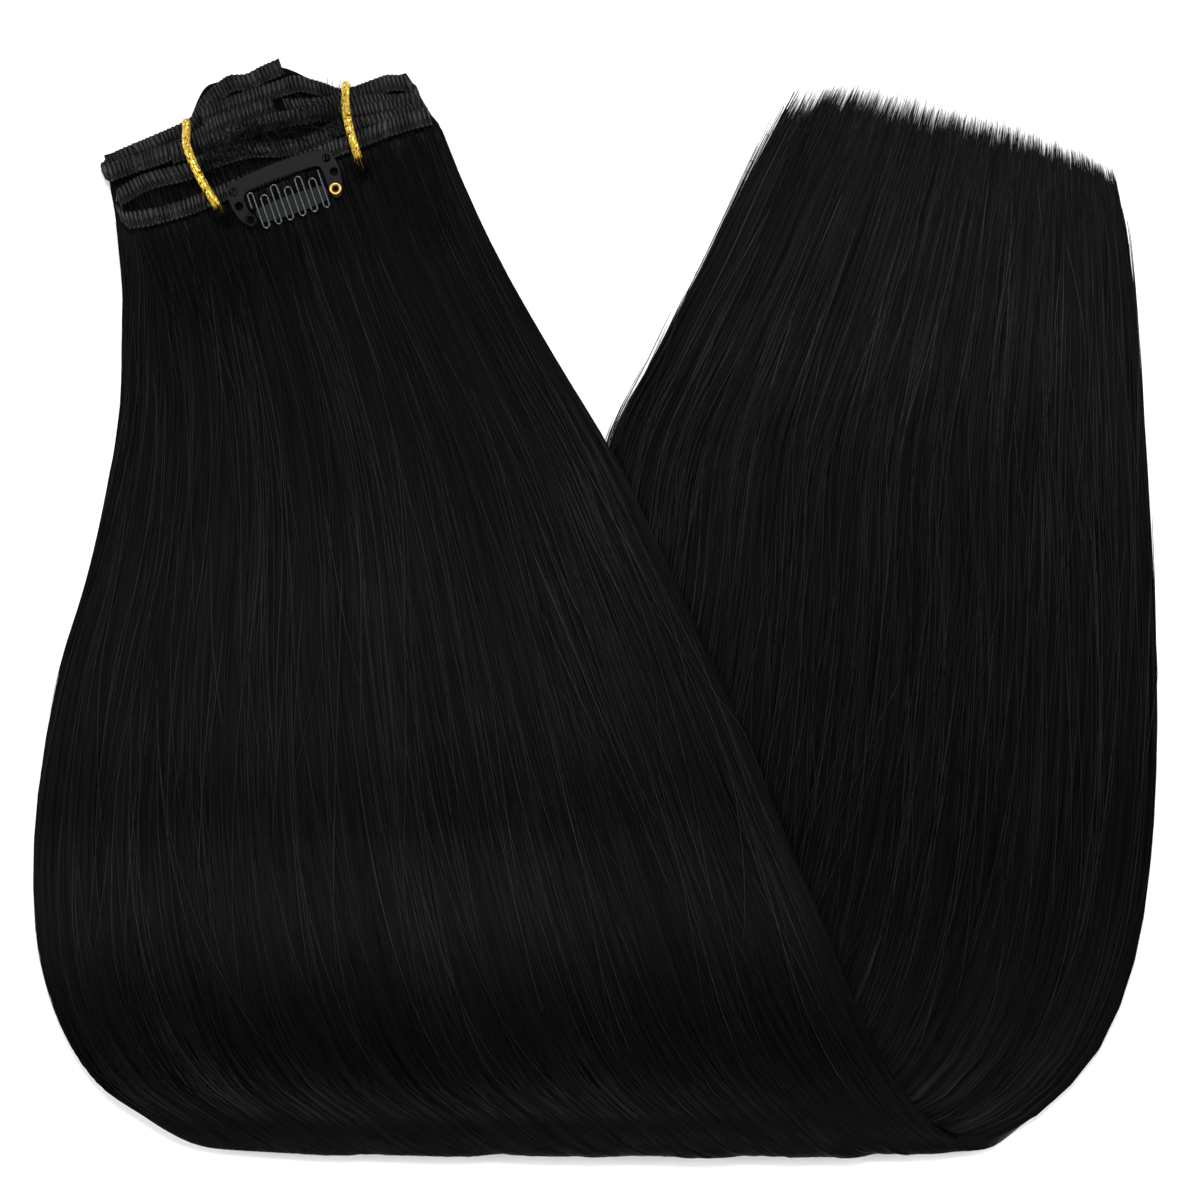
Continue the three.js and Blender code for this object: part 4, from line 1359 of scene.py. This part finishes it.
    def root_hairs(
        self, finish: bpy.types.Material, bed: Callable[[np.ndarray], np.ndarray]
    ) -> bpy.types.Object:
        """Lays the hair that leaves the front edge of each pass and runs on under the next.

        Args:
            finish: the material.
            bed: gives the height of the hair below from the way forward.

        Returns:
            The piece.
        """
        rng = np.random.default_rng(61)
        along = np.linspace(0, 1, 9)[None, :]
        paths = []
        for name in PASSES:
            at = self.stations(name)
            count = int(len(at) * self.station_step / 0.34)
            index = rng.uniform(0, len(at) - 1, count)
            start = np.stack([np.interp(index, np.arange(len(at)), at[:, k]) for k in range(3)], axis=-1)
            front = name == "front"
            length = rng.uniform(18, 40, count) if front else rng.uniform(7, 13, count)
            across = start[:, :1] + rng.normal(0, 0.8, count)[:, None] * along
            forward = start[:, 1:2] + self.width * 0.3 + length[:, None] * along
            drop = (1.0 if front else 0.6) + rng.uniform(0, 0.5, count)[:, None]
            high = start[:, 2:] - 0.1 - drop * smoothstep(along, 0, 0.5 if front else 0.3)
            rest = bed(forward) + rng.uniform(0.1, 0.6, count)[:, None]
            z = np.maximum(high * (1 - along) + rest * along, rest) if front else np.minimum(high, rest + 2.5)
            paths.append(self.bundle.place(across, forward, z))
        points = np.concatenate(paths)
        up = np.broadcast_to(UP, points.shape)
        width = rng.uniform(0.16, 0.34, len(points))
        return lay_ribbons("root_hairs", finish, points, up, width, rng, 0.6, 30 + 30 * along)

    def tufts(self, finish: bpy.types.Material, ends: Sequence[float]) -> bpy.types.Object:
        """Lays hairs over the places where the ties dive in, and curls between the middle wefts.

        Args:
            finish: the material.
            ends: places across at which the ties dive in, in millimetres.

        Returns:
            The piece.
        """
        rng = np.random.default_rng(71)
        along = np.linspace(0, 1, 10)[None, :]
        paths = []
        few = self.tuft
        for end in ends:
            across = end + rng.uniform(-1.7, 1.7, few)[:, None] + rng.normal(0, 0.6, few)[:, None] * along
            forward = rng.uniform(-1.6, -0.2, few)[:, None] + rng.uniform(7, 12, few)[:, None] * along
            z = self.stack + 2.3 - rng.uniform(0, 0.5, few)[:, None] - 6.5 * smoothstep(along, 0.05, 0.8)
            paths.append(self.bundle.place(across, forward, z))
        count = self.curls
        heading = rng.normal(0.55, 0.7, count)[:, None]
        bend = rng.choice([-1.0, 1.0], count)[:, None] * rng.uniform(0.6, 2.4, count)[:, None]
        length = rng.uniform(4, 10, count)[:, None]
        angle = heading + bend * along
        step = length / (along.shape[1] - 1)
        across = rng.uniform(-22, 18, count)[:, None] + np.cumsum(np.sin(angle) * step, axis=1)
        forward = rng.uniform(-21, -14, count)[:, None] + np.cumsum(np.cos(angle) * step, axis=1)
        z = self.stack - 1.1 + rng.uniform(0, 0.7, count)[:, None] - 0.8 * (2 * along - 1) ** 2
        paths.append(self.bundle.place(across, np.minimum(forward, -8.0), z))
        points = np.concatenate(paths)
        up = np.broadcast_to(UP, points.shape)
        width = rng.uniform(0.14, 0.26, len(points))
        return lay_ribbons("tufts_of_roots", finish, points, up, width, rng, 0.9, 150 + 10 * along)

    def build(self) -> list[bpy.types.Object]:
        """Builds the four strips.

        Returns:
            The pieces.
        """
        return [
            self.band("weft_back_sewn", "weft_back", ("back", "back_upper"), -1, 31),
            self.band("weft_second_sewn", "weft_second", ("second", "second_upper"), 1, 32),
            self.band("weft_middle_sewn", "weft_middle", ("middle",), 1, 33),
            self.band("weft_front_sewn", "weft_front", ("upper", "front"), -1, 34),
        ]


# The ties


TIE_PATHS = {
    "left": (
        (-0.028, 1.112, -0.224), (-0.067, 1.122, -0.233), (-0.122, 1.06, -0.243), (-0.183, 0.99, -0.249),
        (-0.222, 0.885, -0.249), (-0.248, 0.724, -0.242), (-0.27, 0.5, -0.234), (-0.29, 0.328, -0.23),
        (-0.287, 0.179, -0.23), (-0.265, 0.095, -0.232), (-0.167, 0.095, -0.234), (-0.087, 0.095, -0.231),
        (-0.022, 0.164, -0.226), (0, 0.373, -0.222), (0.006, 0.67, -0.22), (0.005, 0.95, -0.22),
    ),
    "right": (
        (-0.045, 1.112, 0.236), (-0.089, 1.122, 0.238), (-0.139, 1.03, 0.243), (-0.18, 0.896, 0.251),
        (-0.211, 0.761, 0.26), (-0.233, 0.612, 0.269), (-0.24, 0.418, 0.272), (-0.236, 0.216, 0.27),
        (-0.212, 0.095, 0.262), (-0.133, 0.095, 0.25), (-0.06, 0.095, 0.24), (-0.004, 0.164, 0.235),
        (0.014, 0.373, 0.234), (0.017, 0.67, 0.234), (0.004, 0.95, 0.234),
    ),
}


@dataclass
class Tie:
    """A closed elastic tie, braided over with tinsel."""

    bundle: BundleFrame
    finish: bpy.types.Material
    diameter: float = 2.35
    braid_pitch: float = 2.4
    braid_depth: float = 0.16
    sides: int = 24
    step: float = 0.16

    def build(self, which: str, bundle_width: float, stack: float) -> bpy.types.Object:
        """Builds one tie.

        Args:
            which: left or right.
            bundle_width: the width that its path is a share of.
            stack: the height that its path is a share of.

        Returns:
            The piece.
        """
        share = np.array(TIE_PATHS[which])
        looped = np.concatenate([share[-2:], share, share[:3]])
        scale = np.array([bundle_width, stack, bundle_width])
        span = np.linspace(2, 2 + len(share), 900, endpoint=False)
        path = smooth_path(looped * scale, span)
        points = self.bundle.place(path[:, 2], path[:, 0], path[:, 1])
        run = np.concatenate([[0], np.cumsum(np.linalg.norm(np.diff(points, axis=0), axis=1))])
        length = run[-1] + np.linalg.norm(points[0] - points[-1])
        even = np.interp(np.arange(0, length, self.step), np.append(run, length), np.arange(len(run) + 1))
        path = smooth_path(np.concatenate([points, points[:1]]), even)
        run = np.arange(len(path)) * self.step
        angle = 2 * np.pi * np.arange(self.sides) / self.sides
        turns = round(length / self.braid_pitch) * 2 * np.pi / length
        one = np.abs(np.sin(2 * angle[None, :] + run[:, None] * turns / 2))
        other = np.abs(np.sin(2 * angle[None, :] - run[:, None] * turns / 2))
        braid = np.maximum(one, other) - 0.75
        radii = self.diameter / 2 + self.braid_depth * braid
        rings = tube_rings(path, radii, self.sides, True, self.bundle.across)
        coords = np.stack(np.broadcast_arrays(angle[None, :] * self.diameter / 2, run[:, None]), axis=-1)
        return make_piece(
            f"tie_{which}_tinsel", rings, loop_faces(len(path), self.sides, True), self.finish,
            Body.BUNDLE, (f"tie_{which}",), coords,
        )


# The clip


@dataclass
class SnapClip:
    """The snap comb clip: lacquered plate, leaf spring, wire teeth and two tubular rivets."""

    bundle: BundleFrame
    length: float = 32.0
    plate_bottom: float = 13.7
    plate_thickness: float = 0.6
    wire: float = 0.56
    leaf_thickness: float = 0.35
    gap: float = 0.25
    hole: float = 1.1
    shank: float = 1.05
    outline: tuple[tuple[float, float], ...] = (
        (-0.5, -0.155), (-0.46, -0.178), (-0.4, -0.193), (-0.26, -0.211), (-0.12, -0.221), (0, -0.225),
        (0.17, -0.224), (0.3, -0.215), (0.39, -0.2), (0.43, -0.187), (0.458, -0.15), (0.475, -0.08),
        (0.482, 0), (0.47, 0.09), (0.448, 0.17), (0.42, 0.222), (0.385, 0.236), (0.352, 0.222),
        (0.338, 0.18), (0.335, 0.1), (0.333, 0.02), (0.325, -0.05), (0.3, -0.078), (0.24, -0.085),
        (0.1, -0.09), (-0.1, -0.088), (-0.26, -0.078), (-0.34, -0.062), (-0.375, -0.03), (-0.382, 0.03),
        (-0.372, 0.1), (-0.346, 0.14), (-0.334, 0.18), (-0.345, 0.215), (-0.38, 0.232), (-0.42, 0.222),
        (-0.465, 0.16), (-0.495, 0.09), (-0.51, 0), (-0.51, -0.09),
    )
    leaf_outline: tuple[tuple[float, float], ...] = (
        (-0.322, 0.12), (-0.28, 0.095), (-0.1, 0.08), (0.1, 0.08), (0.27, 0.09), (0.312, 0.115),
        (0.318, 0.165), (0.3, 0.21), (0.24, 0.232), (0.1, 0.243), (-0.1, 0.243), (-0.24, 0.236),
        (-0.3, 0.218), (-0.322, 0.175),
    )
    sewing_holes: tuple[tuple[float, float], ...] = (
        (0.4, -0.12), (0.425, 0.012), (-0.45, -0.1), (-0.443, 0.03),
    )
    eyelets: tuple[tuple[float, float], ...] = ((0.39, 0.155), (-0.388, 0.172))
    legs: tuple[float, ...] = (
        0.297, 0.25, 0.19, 0.138, 0.082, 0.03, -0.03, -0.082, -0.138, -0.186, -0.246, -0.3, -0.345
    )
    # Radius, face of the plate and millimetres beyond it, from the bore round both flanges and back.
    rivet_profile: tuple[tuple[float, int, float], ...] = (
        (0.65, -1, -0.3), (1.1, -1, -0.34), (1.5, -1, -0.28), (1.56, -1, -0.14), (1.5, -1, 0),
        (1.05, -1, 0), (1.05, 1, 0), (1.6, 1, 0), (1.7, 1, 0.08), (1.68, 1, 0.2), (1.58, 1, 0.31),
        (1.38, 1, 0.37), (1.16, 1, 0.33), (0.98, 1, 0.12), (0.82, 1, -0.25), (0.65, 1, -0.5),
    )
    tall_turn: float = -0.05
    short_turn: float = 0.005
    tooth_end: float = 0.283
    last_end: float = 0.09

    def smooth_outline(self, points: Sequence[tuple[float, float]], per: int) -> np.ndarray:
        """Rounds a closed outline.

        Args:
            points: its points in shares of the clip's length.
            per: points between two of them.

        Returns:
            The outline in millimetres.
        """
        given = np.array(points) * self.length
        looped = np.concatenate([given[-2:], given, given[:3]])
        return smooth_path(looped, np.linspace(2, 2 + len(given), len(given) * per, endpoint=False))

    def sheet(
        self,
        name: str,
        outline: np.ndarray,
        holes: Sequence[np.ndarray],
        bottom: float,
        thickness: float,
        finish: bpy.types.Material,
        body: Body,
        stands_for: str,
        bevel: float,
    ) -> bpy.types.Object:
        """Builds a stamped sheet with rounded edges.

        Args:
            name: the piece's name.
            outline: its outer edge.
            holes: the edges of its holes.
            bottom: the height of its underside.
            thickness: its thickness.
            finish: the material.
            body: the body it rides on.
            stands_for: the solid that it replaces.
            bevel: how far its edges are rounded.

        Returns:
            The piece.
        """
        curve = bpy.data.curves.new(name, "CURVE")
        curve.dimensions = "2D"
        curve.fill_mode = "BOTH"
        curve.extrude = (thickness / 2 - bevel) * METRES
        curve.bevel_depth = bevel * METRES
        curve.bevel_resolution = 3
        curve.offset = -bevel * METRES
        for edge in (outline, *holes):
            spline = curve.splines.new("POLY")
            spline.points.add(len(edge) - 1)
            flat = np.column_stack([edge[:, 0], -edge[:, 1], np.zeros(len(edge)), np.ones(len(edge))])
            flat[:, :3] *= METRES
            spline.points.foreach_set("co", flat.ravel())
            spline.use_cyclic_u = True
        made = bpy.data.objects.new(name, curve)
        bpy.context.scene.collection.objects.link(made)
        made.rotation_euler = (0, 0, math.radians(self.bundle.turn))
        middle = self.bundle.place(np.array(0.0), np.array(0.0), np.array(bottom + thickness / 2))
        made.location = Vector(middle * METRES)
        bpy.context.view_layer.update()
        shape = made.evaluated_get(bpy.context.evaluated_depsgraph_get())
        mesh = bpy.data.meshes.new_from_object(shape)
        mesh.transform(made.matrix_world)
        bpy.data.objects.remove(made)
        solid = bpy.data.objects.new(name, mesh)
        bpy.context.scene.collection.objects.link(solid)
        mesh.materials.clear()
        mesh.materials.append(finish)
        mesh.polygons.foreach_set("use_smooth", np.ones(len(mesh.polygons), bool))
        mesh.set_sharp_from_angle(angle=math.radians(50))
        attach(solid, body.value)
        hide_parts(stands_for)
        LOG.info("%s: %d faces", name, len(mesh.polygons))
        return solid

    def circle(self, at: tuple[float, float], radius: float, corners: int = 40) -> np.ndarray:
        """Gives the edge of a round hole."""
        angle = 2 * np.pi * np.arange(corners) / corners
        return np.column_stack(
            [at[0] * self.length + radius * np.cos(angle), at[1] * self.length + radius * np.sin(angle)]
        )

    def plate(self, finish: bpy.types.Material) -> bpy.types.Object:
        """Builds the plate."""
        holes = [self.circle(at, self.hole) for at in self.sewing_holes]
        holes += [self.circle(at, self.shank + self.gap) for at in self.eyelets]
        outline = self.smooth_outline(self.outline, 5)
        return self.sheet(
            "clip_plate_stamped", outline, holes, self.plate_bottom, self.plate_thickness, finish,
            Body.BUNDLE, "clip_plate", 0.16,
        )

    def leaf(self, finish: bpy.types.Material) -> bpy.types.Object:
        """Builds the leaf spring."""
        bottom = self.plate_bottom - self.gap - self.leaf_thickness
        outline = self.smooth_outline(self.leaf_outline, 6)
        return self.sheet(
            "comb_leaf_spring", outline, [], bottom, self.leaf_thickness, finish, Body.COMB, "comb_leaf", 0.08
        )

    def teeth(self, finish: bpy.types.Material) -> bpy.types.Object:
        """Builds the wire that is bent to and fro into the teeth."""
        stations = [(self.legs[0], self.tall_turn)]
        for leg in range(len(self.legs) - 1):
            start, end = self.legs[leg], self.legs[leg + 1]
            radius = (start - end) / 2
            at_tooth = leg % 2 == 0
            back = self.short_turn if leg % 4 == 1 else self.tall_turn
            reach = self.tooth_end - radius if at_tooth else back + radius
            sign = 1 if at_tooth else -1
            for angle in np.linspace(0, math.pi, 11):
                stations.append(
                    ((start + end) / 2 + radius * math.cos(angle), reach + sign * radius * math.sin(angle))
                )
        stations.append((self.legs[-1], self.last_end))
        flat = np.array(stations) * self.length
        run = np.concatenate([[0], np.cumsum(np.linalg.norm(np.diff(flat, axis=0), axis=1))])
        even = np.arange(0, run[-1], 0.3)
        flat = np.column_stack([np.interp(even, run, flat[:, 0]), np.interp(even, run, flat[:, 1])])
        level = np.full(len(flat), self.plate_bottom + self.wire / 2)
        path = self.bundle.place(flat[:, 0], flat[:, 1], level)
        rings = tube_rings(path, np.full(len(path), self.wire / 2), 12, False, UP)
        faces = np.concatenate([loop_faces(len(path), 12, False), cap_fans(12, len(path))])
        return make_piece(
            "comb_teeth", rings, faces, finish, Body.COMB, ("comb_wire",)
        )

    def rivet(
        self, name: str, at: tuple[float, float], finish: bpy.types.Material, stands_for: str
    ) -> bpy.types.Object:
        """Builds a tubular rivet with rolled flanges.

        Args:
            name: the piece's name.
            at: its place in shares of the clip's length.
            finish: the material.
            stands_for: the solid that it replaces.

        Returns:
            The piece.
        """
        reach = self.plate_thickness / 2 + self.gap
        profile = np.array([(radius, side * reach + past) for radius, side, past in self.rivet_profile])
        turns = 48
        angle = 2 * np.pi * np.arange(turns) / turns
        across = at[0] * self.length + profile[None, :, 0] * np.cos(angle)[:, None]
        forward = at[1] * self.length + profile[None, :, 0] * np.sin(angle)[:, None]
        height = np.broadcast_to(self.plate_bottom + self.plate_thickness / 2 + profile[:, 1], across.shape)
        points = self.bundle.place(across, forward, height)
        faces = loop_faces(turns, len(profile), True)[:, ::-1]
        return make_piece(name, points, faces, finish, Body.BUNDLE, (stands_for,))

    def build(self) -> list[bpy.types.Object]:
        """Builds the whole clip.

        Returns:
            The pieces.
        """
        plate = LacqueredSteel("satin_black_lacquer", "08090a", 0.28, 0.0, 0.035).material()
        gloss = LacqueredSteel("gloss_black_wire", "3a3e40", 0.24, 0.85, 0.5).material()
        spring = LacqueredSteel("dull_black_spring", "08090a", 0.3, 0.0, 0.045).material()
        brass = TurnedBrass().material()
        return [
            self.plate(plate),
            self.leaf(spring),
            self.teeth(gloss),
            self.rivet("eyelet_right_brass", self.eyelets[0], brass, "eyelet_right"),
            self.rivet("eyelet_left_black", self.eyelets[1], plate, "eyelet_left"),
        ]


# The studio


@dataclass
class Studio:
    """A plain pale floor, soft light and the camera above."""

    frame_width: float = 331.2
    lens: float = 300.0
    sensor: float = 36.0
    focus_height: float = 5.0
    aim_x: float = 1.24
    aim_y: float = 1.93
    floor_side: float = 4000.0
    floor_gap: float = 0.2
    paper: str = "f6f6f6"
    world: float = 0.22
    lights: tuple[tuple[str, tuple[float, float, float], float, float], ...] = (
        ("soft_box_back", (-0.08, 0.5, 1.5), 0.35, 22),
        ("soft_box_front", (0.2, -1.3, 1.0), 0.9, 14),
        ("soft_box_left", (-1.4, 0.1, 1.1), 0.9, 18),
        ("soft_box_right", (1.4, 0.2, 1.1), 0.9, 18),
    )

    def camera(self) -> None:
        """Sets the camera looking straight down, with the photograph's frame."""
        data = bpy.data.cameras.new("overhead_camera")
        data.lens = self.lens
        data.sensor_width = self.sensor
        data.clip_end = 20
        made = bpy.data.objects.new("overhead_camera", data)
        bpy.context.scene.collection.objects.link(made)
        away = self.frame_width * self.lens / self.sensor
        made.location = Vector((self.aim_x, self.aim_y, self.focus_height + away)) * METRES
        bpy.context.scene.camera = made

    def floor(self) -> None:
        """Lays the floor."""
        made, tree = fresh_material("matt_white_paper")
        look = {"Base Color": linear(self.paper), "Roughness": 0.9}
        shader = node(tree, "ShaderNodeBsdfPrincipled", sockets=look)
        node(tree, "ShaderNodeOutputMaterial", links={"Surface": shader.outputs["BSDF"]})
        half = self.floor_side / 2 * METRES
        mesh = bpy.data.meshes.new("paper_floor")
        square = [(-half, -half, 0), (half, -half, 0), (half, half, 0), (-half, half, 0)]
        mesh.from_pydata(square, [], [(0, 1, 2, 3)])
        mesh.materials.append(made)
        floor = bpy.data.objects.new("paper_floor", mesh)
        floor.location.z = -self.floor_gap * METRES
        bpy.context.scene.collection.objects.link(floor)

    def light(self, name: str, place: tuple[float, float, float], size: float, power: float) -> None:
        """Hangs one square soft light that faces the part.

        Args:
            name: the light's name.
            place: where it hangs, in metres.
            size: its side, in metres.
            power: its power, in watts.
        """
        data = bpy.data.lights.new(name, "AREA")
        data.shape = "SQUARE"
        data.size = size
        data.energy = power
        made = bpy.data.objects.new(name, data)
        made.location = Vector(place)
        made.rotation_mode = "QUATERNION"
        made.rotation_quaternion = (-Vector(place)).to_track_quat("-Z", "Y")
        bpy.context.scene.collection.objects.link(made)

    def build(self) -> None:
        """Sets the camera, floor, lights and world."""
        self.camera()
        self.floor()
        for light in self.lights:
            self.light(*light)
        world = bpy.data.worlds.new("pale_studio")
        world.use_nodes = True
        sky = world.node_tree.nodes["Background"].inputs
        sky["Color"].default_value = linear("ffffff")
        sky["Strength"].default_value = self.world
        bpy.context.scene.world = world
        bpy.context.scene.view_settings.view_transform = "Standard"


def corners(box: tuple[Vector, Vector]) -> list[list[float]]:
    """Turns a box's two corners into plain lists."""
    return [list(box[0]), list(box[1])]


def main() -> None:
    """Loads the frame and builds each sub-assembly."""
    logging.basicConfig(level=logging.INFO, format="%(name)s: %(message)s")
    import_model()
    Studio().build()
    bundle = BundleFrame()
    fibre = HairFibre()
    hair = HairFall(fibre)
    hair.build()
    wefts = Wefts(bundle, StitchedWeft().material())
    wefts.build()
    roots = fibre.material("root_hair", 0.2)
    wefts.root_hairs(roots, lambda forward: hair.bed_height(bundle, forward))
    wefts.tufts(roots, [path[-3][2] * wefts.bundle_width for path in TIE_PATHS.values()])
    tinsel = TinselYarn().material()
    for which in TIE_PATHS:
        Tie(bundle, tinsel).build(which, wefts.bundle_width, wefts.stack)
    SnapClip(bundle).build()


if __name__ == "__main__":
    main()
